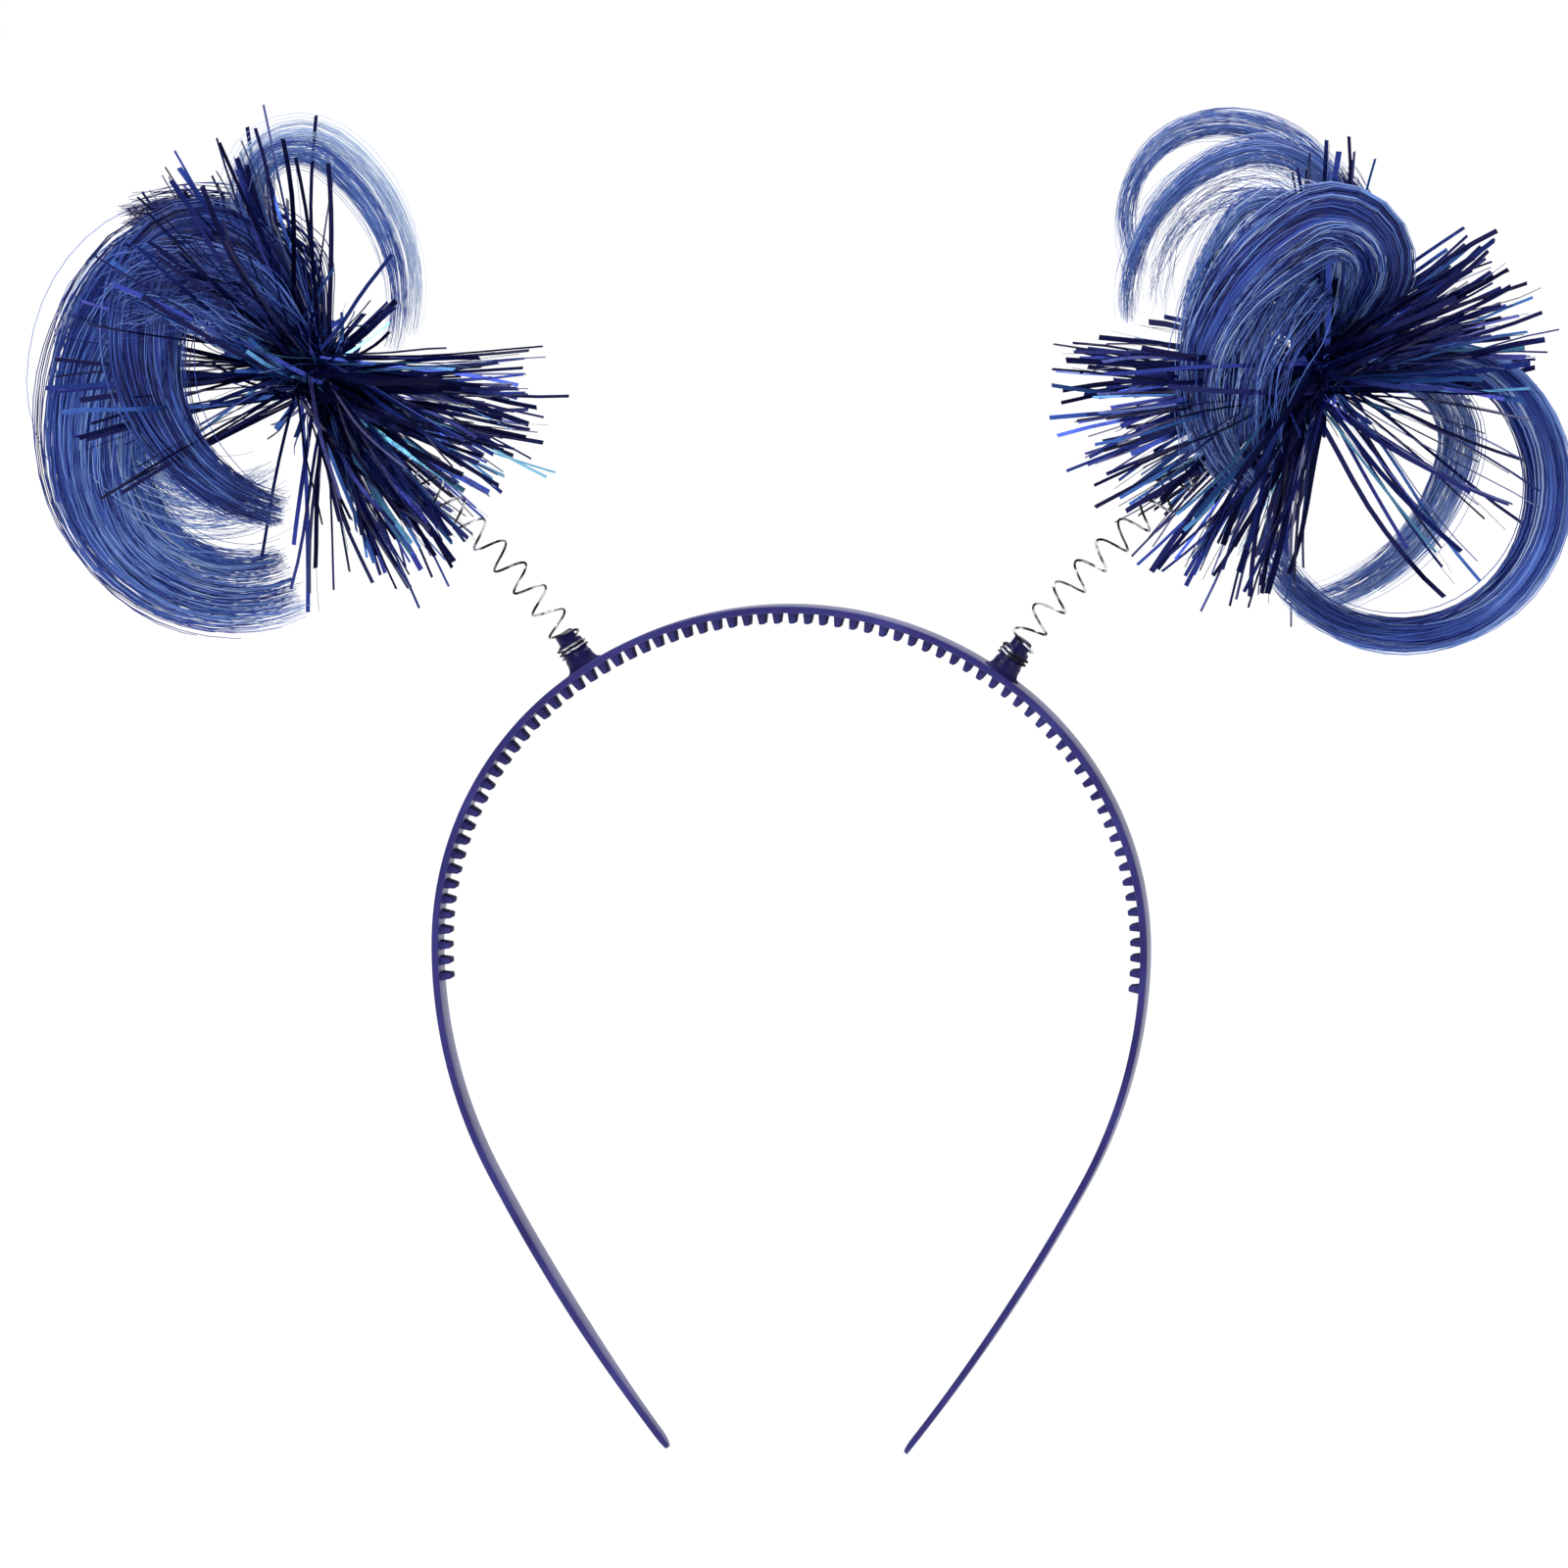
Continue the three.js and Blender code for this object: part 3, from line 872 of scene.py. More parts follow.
        # Radius and height of each ring; the small numbers are the moulding's roundings.
        profile = [
            (self.stud_hub, -self.stud_sink), (self.stud_flare, -self.stud_sink),
            (self.stud_flare + 0.25, -0.05), (self.stud_flare, 0.1),
            (shoulder + flare * 0.45, flare * 0.55), (shoulder + flare * 0.12, flare * 1.3),
            (shoulder, flare * 2.2), (shoulder, ledge - 0.25), (shoulder - 0.1, ledge - 0.08),
            (barrel, ledge + 0.05), (barrel, step - 0.4), (barrel - 0.1, step - 0.12),
            (nose + 0.02, step + 0.05), (nose, step + 0.3), (nose - 0.05, top - 0.35),
            (nose - 0.16, top - 0.1), (nose - 0.4, top), (self.stud_hub, top),
        ]
        point, normal = self.place(sign * self.stud_place)
        across = BACK.cross(normal)
        mesh = MeshKit.loft("stud", [
            circle(point + normal * height, across, -BACK, radius, self.stud_sides)
            for radius, height in profile])
        mesh.materials.append(self.material)
        # Painted shade: the whole stud is painted nearly the deep colour.
        self.tone(mesh, self.stud_painted_shade, 0.0)
        for face in mesh.polygons:
            height = (Vector(face.center) / MM - point).dot(normal)
            foot = 1.0 - smooth_share(height, *self.foot_matte)
            mesh.attributes["matte"].data[face.index].value = foot
        return mesh

    def tooth(self) -> bpy.types.Object:
        """One rounded tooth that stands along +Z from the inner face."""
        shape = bmesh.new()
        corners = []
        for width, height in ((self.tooth_root, -self.tooth_sink), (self.tooth_tip, self.tooth_height)):
            for x, y in ((-1, -1), (1, -1), (1, 1), (-1, 1)):
                place = Vector((x * width / 2, y * self.tooth_depth / 2, height))
                corners.append(shape.verts.new(place * MM))
        shape.faces.new(corners[3::-1])
        shape.faces.new(corners[4:])
        for side in range(4):
            after = (side + 1) % 4
            shape.faces.new((corners[side], corners[after], corners[after + 4], corners[side + 4]))
        edges = [edge for edge in shape.edges if max(v.co.z for v in edge.verts) > 0]
        bmesh.ops.bevel(shape, geom=edges, offset=self.tooth_bevel * MM, segments=2, profile=0.5,
                        affect="EDGES")
        mesh = bpy.data.meshes.new("tooth")
        shape.to_mesh(mesh)
        shape.free()
        self.tone(mesh, 0.0, 0.0)
        # Painted shade: faces not facing the front or back are painted deep, and made matte.
        for face in mesh.polygons:
            flank = 1.0 - smooth_share(abs(face.normal.y), *self.flank_turn)
            for name in ("shade", "matte"):
                mesh.attributes[name].data[face.index].value = flank
        return MeshKit.stand("tooth", mesh)

    def comb(self) -> bpy.types.Mesh:
        """The row of teeth, set along the inner face by a node tree."""
        per_side = math.floor(self.comb_reach / self.tooth_pitch)
        reach = per_side * self.tooth_pitch
        steps = self.comb_steps
        stations = [reach * index / steps for index in range(-steps, steps + 1)]
        points, inward = [], []
        for station in stations:
            point, normal = self.place(station)
            points.append(point - normal * self.section(station)[0])
            inward.append(-normal)
        base = MeshKit.line("comb", points, {}, {"inward": inward})
        tree = NodeKit("comb_teeth")
        count = tree.size("Teeth", "Int")
        template = tree.size("Tooth", "Object")
        curve = tree.add("GeometryNodeMeshToCurve", {"Mesh": tree.source.outputs["Geometry"]})
        spaced = tree.add("GeometryNodeResampleCurve", {"Curve": curve.outputs[0], "Count": count})
        shape = tree.add("GeometryNodeObjectInfo", {"Object": template})
        turn = tree.add("FunctionNodeAlignRotationToVector",
                        {"Vector": tree.named("inward", "FLOAT_VECTOR")}, axis="Z", pivot_axis="Y")
        teeth = tree.add("GeometryNodeInstanceOnPoints", {
            "Points": spaced.outputs[0],
            "Instance": shape.outputs["Geometry"],
            "Rotation": turn.outputs[0],
        })
        tree.finish(teeth.outputs[0], self.material)
        tooth = self.tooth()
        tree.attach(base, {"Teeth": 2 * per_side + 1, "Tooth": tooth})
        mesh = NodeKit.bake(base)
        template_mesh = tooth.data
        bpy.data.objects.remove(tooth)
        bpy.data.meshes.remove(template_mesh)
        return mesh

    def build(self) -> bpy.types.Object:
        parts = [self.arch(), self.comb(), self.stud(-1), self.stud(1)]
        piece = MeshKit.fuse("headband_moulding", parts, smooth=True)
        piece.data.set_sharp_from_angle(angle=math.radians(self.sharp_angle))
        declare(piece, "headband")
        return piece


@dataclass(frozen=True)
class Side:
    """One side of the head bopper."""

    name: str
    sign: int
    across: float
    up: float
    seed: int


@dataclass
class Spring:
    """Wire spring: turns wound on the stud, the free coil and one turn round the pompom's neck."""

    band: Headband
    side: Side
    material: bpy.types.Material
    wire: float = 0.45
    wound_gap: float = 0.06
    radius: float = 2.45
    pitch: float = 5.35
    gap: float = 0.3
    wound: int = 2
    bend: float = 14.0
    knot_radius: float = 4.2
    steps_per_turn: int = 26
    wire_sides: int = 8
    stud_steps: int = 20
    line_steps: int = 260
    ease_share: float = 0.4

    def __post_init__(self) -> None:
        """Works out the stud's seat, nose and normal, and how the wire meets the knot."""
        side, band = self.side, self.band
        self.knot = Vector((side.sign * side.across, 0.0, band.crown_height + side.up))
        foot, normal = band.place(side.sign * band.stud_place)
        self.seat = foot + normal * (band.shoulder_height + self.gap + self.wire / 2)
        self.nose = foot + normal * band.stud_height
        self.elbow = self.nose + normal * self.bend
        self.arrival = (self.knot - self.elbow).normalized()

    def middle(self) -> tuple[list[Vector], list[float]]:
        """Middle line of the spring.

        Returns:
            Its points and the distance of each from the start.
        """
        end = self.knot - self.arrival * (self.knot_radius + self.gap + self.wire / 2)
        points = [self.seat.lerp(self.nose, step / self.stud_steps)
                  for step in range(self.stud_steps)]
        for step in range(self.line_steps + 1):
            share = step / self.line_steps
            points.append(self.nose * (1 - share) ** 2
                          + self.elbow * 2 * share * (1 - share) + end * share ** 2)
        reach = [0.0]
        for before, after in zip(points, points[1:]):
            reach.append(reach[-1] + (after - before).length)
        return points, reach

    def turns_at(self, reach: float, total: float) -> tuple[float, float]:
        """Turns made and coil radius at a distance along the middle line.

        Args:
            reach: Distance from the start.
            total: Length of the middle line.

        Returns:
            Turns so far and the radius there.
        """
        tight = self.wire + self.gap
        wound_rise = self.wound * tight
        climb = self.band.stud_height - self.band.shoulder_height - wound_rise
        free = total - wound_rise - climb - tight
        wound_radius = self.band.stud_barrel + self.wound_gap + self.wire / 2
        stretches = ((self.wound, wound_rise, wound_radius), (1, climb, self.radius),
                     (round(free / self.pitch), free, self.radius), (1, tight, self.radius))
        turns, low, radius = 0.0, 0.0, wound_radius
        for count, rise, next_radius in stretches:
            part = min(max((reach - low) / rise, 0.0), 1.0)
            turns += count * part
            radius = mix(radius, next_radius, smooth_share(part, 0.0, self.ease_share))
            low += rise
        return turns, radius

    def stations(self) -> tuple[list[Vector], list[float], list[float]]:
        """Middle line taken at even shares of a turn.

        Returns:
            Its points, and the turns made and the coil's radius at each.
        """
        points, reach = self.middle()
        rows = [self.turns_at(distance, reach[-1]) for distance in reach]
        count = math.ceil(rows[-1][0] * self.steps_per_turn)
        line, turns, radii, place = [], [], [], 0
        for step in range(count + 1):
            wanted = rows[-1][0] * step / count
            while place < len(rows) - 2 and rows[place + 1][0] < wanted:
                place += 1
            low, high = rows[place], rows[place + 1]
            share = min(max((wanted - low[0]) / (high[0] - low[0]), 0.0), 1.0)
            line.append(points[place].lerp(points[place + 1], share))
            turns.append(wanted)
            radii.append(mix(low[1], high[1], share) * MM)
        return line, turns, radii

    def build(self) -> bpy.types.Object:
        line, turns, radii = self.stations()
        base = MeshKit.line(f"coil_{self.side.name}", line, {"turns": turns, "coil": radii}, {})
        tree = NodeKit(f"coil_{self.side.name}")
        wire = tree.size("Wire radius")
        sides = tree.size("Wire sides", "Int")
        curve = tree.add("GeometryNodeMeshToCurve", {"Mesh": tree.source.outputs["Geometry"]})
        way = tree.keep(curve.outputs[0], "way", tree.add("GeometryNodeInputTangent").outputs[0],
                        "POINT", "FLOAT_VECTOR")
        turned = tree.times(tree.named("turns"), math.tau)
        out = tree.vector("NORMALIZE", tree.vector("CROSS_PRODUCT", tree.named("way", "FLOAT_VECTOR"),
                                                   tuple(BACK)))
        shift = tree.vector("ADD",
                            tree.scaled(out, tree.math("COSINE", turned)),
                            tree.scaled(tuple(BACK), tree.math("SINE", turned)))
        moved = tree.add("GeometryNodeSetPosition",
                         {"Geometry": way, "Offset": tree.scaled(shift, tree.named("coil"))})
        ring = tree.add("GeometryNodeCurvePrimitiveCircle", {"Resolution": sides, "Radius": wire})
        skin = tree.add("GeometryNodeCurveToMesh", {
            "Curve": moved.outputs[0], "Profile Curve": ring.outputs[0], "Fill Caps": True})
        tree.finish(skin.outputs[0], self.material)
        tree.attach(base, {"Wire radius": self.wire / 2 * MM, "Wire sides": self.wire_sides})
        piece = MeshKit.fuse(f"coil_spring_{self.side.name}", [NodeKit.bake(base)], smooth=True)
        declare(piece, f"spring_{self.side.name}")
        return piece


@dataclass(frozen=True)
class Lock:
    """One curled lock: lengths, widths and depths are shares of the pompom's radius.

    It leaves the knot on a bearing, runs straight, bends, sweeps wide where it has a sweep, and
    then curls. A depth below 0 is in front of the knot. strands is how many hairs it has, hair
    their radius in millimetres, and body how much of its section a solid heart fills.
    """

    bearing: float
    run: float
    bend: float
    bend_radius: float
    curl: float
    curl_radius: float
    width: float
    thickness: float
    middle_depth: float
    end_depth: float
    tail: float
    name: str
    strands: int
    body: float
    root: float = 0.35
    sweep: float = 0.0
    sweep_radius: float = 0.0
    hair: float = 0.11
    fray: float = 0.5
    wave: float = 0.6
    clumps: int = 30
    # dark and bright bound its tones; the root sheets are set darkest, painted shade near the root.
    dark: float = 0.0
    bright: float = 1.0


@dataclass(frozen=True)
class Fan:
    """One fan of foil strips: bearing, spreads in degrees, count, and reach as a share.

    dull is how seldom a strip of it is a bright one; the bright strips are partly painted glints.
    """

    bearing: float
    spread: float
    lean_spread: float
    count: int
    reach: float
    dull: float = 2.4


@dataclass(frozen=True)
class HeartRibs:
    """Laid-hair ribs on a lock's heart: shares, and radians from rib to rib."""

    scramble: float = 17.3
    seed_turn: float = 3.1
    drift_run: float = 9.0
    drift_turn: float = 2.4
    depth: float = 0.14
    relief_drift: float = 0.35
    tone_drift: float = 0.3
    tones: tuple[float, float] = (0.1, 0.55)
    closing: float = 0.93
    closes: tuple[float, float] = (0.62, 0.97)

    @staticmethod
    def swing(angle: float) -> float:
        """Sine of an angle, from 0 to 1."""
        return 0.5 + 0.5 * math.sin(angle)


@dataclass(frozen=True)
class HairLay:
    """How hairs lie round their lock: shares of its width and length, and radians."""

    trim: float = 0.22
    trim_power: float = 2.0
    spin: float = 0.42
    twist: float = 1.6
    loose_power: float = 7.0
    offset: float = 0.12
    clump_span: tuple[float, float] = (0.25, 0.85)
    wave_root: float = 0.15
    wave_step: float = 7.31
    wave_run: float = 2.6
    wave_detail: float = 1.5
    clump_tone: float = 0.7
    hair_tone: float = 0.3
    taper: float = 0.6
    taper_power: float = 5.0
    sides: int = 3


@dataclass(frozen=True)
class FoilLay:
    """How strips differ in a fan: shares of their length, width and bend."""

    shorter: float = 0.45
    widths: tuple[float, float] = (0.35, 1.15)
    drift_step: float = 90.0
    drift_run: float = 1.1
    drift_centre: tuple[float, float, float] = (0.5, 0.5, 0.55)


@dataclass
class Pompom:
    """Pompom of foil strips and curled locks, tied at its knot."""

    spring: Spring
    hair_material: bpy.types.Material
    foil_material: bpy.types.Material
    locks: list[Lock]
    fans: list[Fan]
    radius: float = 42.0
    backing_radius: float = 3.2
    soft_gap: float = 0.4
    neck_radius: float = 1.75
    neck_length: float = 3.0
    strip_width: float = 0.95
    strip_thickness: float = 0.07
    strip_rings: int = 9
    strip_sway: float = 0.1
    strip_bend: float = 9.0
    root_scatter: float = 3.4
    clear_angle: float = 9.0
    strip_root: float = 0.2
    knot_core: float = 0.5
    neck_edge: float = 0.3
    round_sides: int = 24
    ball_steps: int = 14
    ball_pole: float = 0.02
    lock_steps: int = 34
    lock_rooted: float = 0.4
    wave_share: float = 0.1
    heart_sides: int = 54
    backing_tones: tuple[float, ...] = (0.1, 0.4, 0.7)
    lock_seed_step: int = 10
    fan_seed: int = 100
    fan_seed_step: int = 20
    ribs: HeartRibs = HeartRibs()
    hair_lay: HairLay = HairLay()
    foil_lay: FoilLay = FoilLay()

    @property
    def name(self) -> str:
        """Side that the pompom is on."""
        return self.spring.side.name

    @property
    def seed(self) -> int:
        """Fixed seed of the side's random numbers."""
        return self.spring.side.seed

    @property
    def backing_centre(self) -> Vector:
        """Centre of the hair's tied root, from the knot."""
        return BACK * (self.spring.knot_radius + self.soft_gap + self.backing_radius)

    def lock_rows(self, lock: Lock) -> list[tuple[Vector, Vector, Vector, float]]:
        """Stations of a lock.

        Args:
            lock: The lock.

        Returns:
            Point, half width and half thickness as vectors, and share of the way, for each.
        """
        size = self.radius
        path = PlanarPath(lock.bearing, [
            Leg(run=lock.run * size),
            Leg(radius=lock.bend_radius * size, turn=lock.bend),
            Leg(radius=lock.sweep_radius * size, turn=lock.sweep),
            Leg(radius=lock.curl_radius * size, turn=lock.curl),
        ])
        backing = self.backing_centre.y
        rows = []
        for step in range(self.lock_steps + 1):
            share = step / self.lock_steps
            point, heading = path.place(share * path.length)
            rooted = smooth_share(share, 0.0, self.lock_rooted)
            ended = smooth_share(share, self.lock_rooted, 1.0)
            point.y = mix(mix(backing, lock.middle_depth * size, rooted),
                          lock.end_depth * size, ended)
            swell = mix(lock.root, 1.0, rooted) * mix(1.0, lock.tail, ended)
            across = direction(heading - 90.0) * lock.width * size * swell / 2
            over = BACK * lock.thickness * size * swell / 2
            rows.append((point + self.spring.knot, across, over, share))
        return rows

    def heart(self, lock: Lock, seed: int) -> bpy.types.Mesh:
        """Dense inside of a lock, ribbed along its length like laid hair.

        Args:
            lock: The lock.
            seed: Number that tells this lock's ribs from another's.

        Returns:
            The mesh, with a tone for each rib.
        """
        rings, tones = [], []
        sides, lay = self.heart_sides, self.ribs
        ribs = [lay.swing(lay.scramble * side * side + seed * lay.seed_turn + side)
                for side in range(sides)]
        for point, across, over, share in self.lock_rows(lock):
            closing = lock.body * (1.0 - lay.closing * smooth_share(share, *lay.closes))
            ring = []
            for side in range(sides):
                angle = math.tau * side / sides
                drift = lay.swing(lay.drift_run * share + side * lay.drift_turn + seed)
                relief = mix(ribs[side], drift, lay.relief_drift)
                size = closing * (1.0 - lay.depth + lay.depth * relief)
                ring.append(point + across * math.cos(angle) * size + over * math.sin(angle) * size)
                tone = mix(*lay.tones, mix(ribs[side], drift, lay.tone_drift))
                tones.append(mix(lock.dark, lock.bright, tone))
            rings.append(ring)
        mesh = MeshKit.loft(f"heart_{self.name}", rings)
        mesh.attributes.new("tone", "FLOAT", "POINT").data.foreach_set("value", tones)
        mesh.materials.append(self.hair_material)
        return mesh

    def strand_tree(self) -> NodeKit:
        """Tree that lays hairs along a lock's middle line."""
        tree, lay = NodeKit(f"strands_{self.name}"), self.hair_lay
        count, clumps, seed = (tree.size(name, "Int") for name in ("Strands", "Clumps", "Seed"))
        hair, fray, wave, dark, bright = tree.sizes(
            "Hair radius", "Fray", "Wave", "Darkest", "Brightest")
        line = tree.add("GeometryNodeMeshToCurve", {"Mesh": tree.source.outputs["Geometry"]})
        many = tree.add("GeometryNodeDuplicateElements",
                        {"Geometry": line.outputs[0], "Amount": count}, domain="SPLINE")
        marked = tree.keep(many.outputs["Geometry"], "strand", many.outputs["Duplicate Index"],
                           "CURVE", "INT")
        strand, share = tree.named("strand", "INT"), tree.named("along")
        clump = tree.math("MODULO", strand, clumps)

        def pick(low: float, high: float, step: float, number: object) -> bpy.types.NodeSocket:
            """Random number for each hair or each clump."""
            return tree.random(low, high, tree.plus(seed, step), number)

        trim = tree.math("POWER", tree.random(0.0, 1.0, seed, strand), lay.trim_power)
        cut = tree.add("GeometryNodeTrimCurve", {
            "Curve": marked,
            "Start": 0.0,
            "End": tree.math("SUBTRACT", 1.0, tree.times(lay.trim, trim)),
        }, mode="FACTOR")
        spin = tree.plus(pick(0.0, math.tau, 1.0, clump), tree.plus(
            pick(-lay.spin, lay.spin, 5.0, strand),
            tree.times(share, pick(-lay.twist, lay.twist, 0.0, clump))))
        loose = tree.math("POWER", pick(0.0, 1.0, 2.0, strand), lay.loose_power)
        reach = tree.plus(pick(-lay.offset, lay.offset, 3.0, strand),
                          tree.math("SQRT", pick(*lay.clump_span, 6.0, clump)))
        free = tree.times(tree.times(loose, fray), tree.math("SQRT", share))
        wide = tree.times(reach, tree.plus(free, 1.0))
        spot = tree.vector("ADD", *(
            tree.scaled(tree.named(name, "FLOAT_VECTOR"), tree.times(wide, tree.math(turn, spin)))
            for name, turn in (("across", "COSINE"), ("over", "SINE"))))
        place = tree.join_xyz(tree.times(strand, lay.wave_step), tree.times(share, lay.wave_run), seed)
        ripple = tree.add("ShaderNodeTexNoise",
                          {"Vector": place, "Scale": 1.0, "Detail": lay.wave_detail})
        sway = tree.vector("SUBTRACT", ripple.outputs["Color"], (0.5, 0.5, 0.5))
        shift = tree.vector("ADD", spot, tree.scaled(
            sway, tree.times(wave, tree.plus(share, lay.wave_root))))
        moved = tree.add("GeometryNodeSetPosition", {"Geometry": cut.outputs[0], "Offset": shift})
        lit = tree.times(tree.math("SUBTRACT", bright, dark), tree.plus(
            tree.times(pick(0.0, 1.0, 4.0, clump), lay.clump_tone),
            pick(0.0, lay.hair_tone, 7.0, strand)))
        toned = tree.keep(moved.outputs[0], "tone", tree.plus(dark, lit), "POINT")
        taper = tree.math("SUBTRACT", 1.0, tree.times(
            lay.taper, tree.math("POWER", share, lay.taper_power)))
        ring = tree.add("GeometryNodeCurvePrimitiveCircle", {"Resolution": lay.sides, "Radius": hair})
        skin = tree.add("GeometryNodeCurveToMesh", {
            "Curve": toned, "Profile Curve": ring.outputs[0], "Scale": taper, "Fill Caps": True})
        tree.finish(skin.outputs[0], self.hair_material)
        return tree

    def hair(self) -> None:
        """The locks, each a heart under its hairs, the first one with the tied backing."""
        tree = self.strand_tree()
        for index, lock in enumerate(self.locks):
            parts = [self.backing()] if index == 0 else []
            rows = self.lock_rows(lock)
            base = MeshKit.line(f"lock_{self.name}_{index}", [row[0] for row in rows],
                                {"along": [row[3] for row in rows]},
                                {"across": [row[1] * MM for row in rows],
                                 "over": [row[2] * MM for row in rows]})
            tree.attach(base, {
                "Strands": lock.strands,
                "Hair radius": lock.hair * MM,
                "Fray": lock.fray,
                "Clumps": lock.clumps,
                "Wave": lock.wave * self.radius * self.wave_share * MM,
                "Darkest": lock.dark,
                "Brightest": lock.bright,
                "Seed": self.seed + index * self.lock_seed_step,
            })
            parts.append(NodeKit.bake(base))
            if lock.body > 0:
                parts.append(self.heart(lock, self.seed + index))
            piece = MeshKit.fuse(f"{lock.name}_{self.name}", parts, smooth=True)
            declare(piece, f"hair_{self.name}")

    def backing(self) -> bpy.types.Mesh:
        """Tied root of the hair, just behind the foil's knot."""
        mesh = self.ball(self.spring.knot + self.backing_centre, self.backing_radius,
                         self.hair_material)
        tones = self.backing_tones
        mesh.attributes.new("tone", "FLOAT", "POINT").data.foreach_set(
            "value", [tones[index % len(tones)] for index in range(len(mesh.vertices))])
        return mesh

    def ball(self, centre: Vector, radius: float,
             material: bpy.types.Material) -> bpy.types.Mesh:
        """Ball made of rings.

        Args:
            centre: Its centre, in millimetres.
            radius: Its radius.
            material: Its finish.

        Returns:
            The mesh.
        """
        rings = []
        for step in range(self.ball_steps + 1):
            tilt = math.pi * mix(self.ball_pole, 1.0 - self.ball_pole, step / self.ball_steps)
            level = centre - Vector((0.0, 0.0, math.cos(tilt) * radius))
            rings.append(circle(level, Vector((1.0, 0.0, 0.0)), BACK, math.sin(tilt) * radius,
                                self.round_sides))
        mesh = MeshKit.loft("ball", rings)
        mesh.materials.append(material)
        return mesh

    def fan_tree(self) -> NodeKit:
        """Tree that adds one fan of strips to what it is given."""
        tree, lay = NodeKit(f"fan_{self.name}"), self.foil_lay
        count, seed = (tree.size(name, "Int") for name in ("Strips", "Seed"))
        knot, way = (tree.size(name, "Vector") for name in ("Knot", "Spring way"))
        bearing, spread, lean_spread, length, width, thickness = tree.sizes(
            "Bearing", "Spread", "Lean spread", "Length", "Strip width", "Strip thickness")
        root, scatter, bend, clear, dull = tree.sizes(
            "Root", "Root scatter", "Bend", "Clear share", "Dull")
        number = tree.add("GeometryNodeInputIndex").outputs[0]

        def pick(low: float, high: float, step: float) -> bpy.types.NodeSocket:
            """Random number for each strip."""
            return tree.random(low, high, tree.plus(seed, step), number)

        turn = tree.plus(bearing, tree.times(spread, pick(-1.0, 1.0, 0.0)))
        lean = tree.times(lean_spread, pick(-1.0, 1.0, 1.0))
        flat = tree.math("COSINE", lean)
        aim = tree.join_xyz(tree.times(tree.math("COSINE", turn), flat), tree.math("SINE", lean),
                            tree.times(tree.math("SINE", turn), flat))
        offset = tree.scaled(tree.join_xyz(*(pick(-1.0, 1.0, step) for step in (7.0, 8.0, 9.0))),
                             scatter)
        start = tree.vector("ADD", knot, tree.vector("ADD", offset, tree.scaled(aim, root)))
        points = tree.add("GeometryNodePoints", {"Count": count, "Position": start})
        open_way = tree.math("LESS_THAN", tree.vector("DOT_PRODUCT", aim, way), clear)
        roll = tree.add("FunctionNodeEulerToRotation",
                        {0: tree.join_xyz(0.0, 0.0, pick(0.0, math.tau, 2.0))})
        turned = tree.add("FunctionNodeAlignRotationToVector",
                          {"Rotation": roll.outputs[0], "Vector": aim}, axis="Z")
        bar = tree.add("GeometryNodeMeshCube", {
            "Size": tree.join_xyz(width, thickness, 1.0), "Vertices X": 2, "Vertices Y": 2,
            "Vertices Z": self.strip_rings})
        stood = tree.add("GeometryNodeTransform",
                         {"Geometry": bar.outputs["Mesh"], "Translation": (0.0, 0.0, 0.5)})
        short = tree.times(pick(0.0, 1.0, 3.0), pick(0.0, lay.shorter, 4.0))
        reach = tree.times(length, tree.math("SUBTRACT", 1.0, short))
        strips = tree.add("GeometryNodeInstanceOnPoints", {
            "Points": points.outputs[0],
            "Selection": open_way,
            "Instance": stood.outputs[0],
            "Rotation": turned.outputs[0],
            "Scale": tree.join_xyz(pick(*lay.widths, 5.0), 1.0, reach),
        })
        # Random tone for each strip; its bright end is partly painted glints.
        marked = tree.keep(strips.outputs[0], "tone",
                           tree.math("POWER", pick(0.0, 1.0, 6.0), dull), "INSTANCE")
        real = tree.add("GeometryNodeRealizeInstances", {"Geometry": marked})
        away = tree.vector("SUBTRACT", tree.add("GeometryNodeInputPosition").outputs[0], knot)
        far = tree.math("DIVIDE", tree.add("ShaderNodeVectorMath", {0: away},
                                           operation="LENGTH").outputs["Value"], length)
        place = tree.join_xyz(tree.times(tree.named("tone"), lay.drift_step),
                              tree.times(far, lay.drift_run), seed)
        drift = tree.add("ShaderNodeTexNoise", {"Vector": place, "Scale": 1.0, "Detail": 0.0})
        lift = tree.scaled(tree.vector("SUBTRACT", drift.outputs["Color"], lay.drift_centre),
                           tree.times(bend, far))
        bent = tree.add("GeometryNodeSetPosition", {"Geometry": real.outputs[0], "Offset": lift})
        whole = tree.add("GeometryNodeJoinGeometry")
        tree.feed(whole.inputs[0], bent.outputs[0])
        tree.feed(whole.inputs[0], tree.source.outputs["Geometry"])
        tree.finish(whole.outputs[0], self.foil_material)
        return tree

    def neck(self) -> bpy.types.Mesh:
        """Short post under the knot that sits in the spring's last turn."""
        way = -self.spring.arrival
        across = BACK.cross(way)
        reach = self.spring.knot_radius + self.neck_length
        profile = ((self.neck_radius, 0.0), (self.neck_radius, reach - self.neck_edge),
                   (self.neck_radius - self.neck_edge, reach))
        rings = [circle(self.spring.knot + way * height, across, -BACK, radius, self.round_sides)
                 for radius, height in profile]
        mesh = MeshKit.loft("neck", rings)
        mesh.materials.append(self.foil_material)
        return mesh

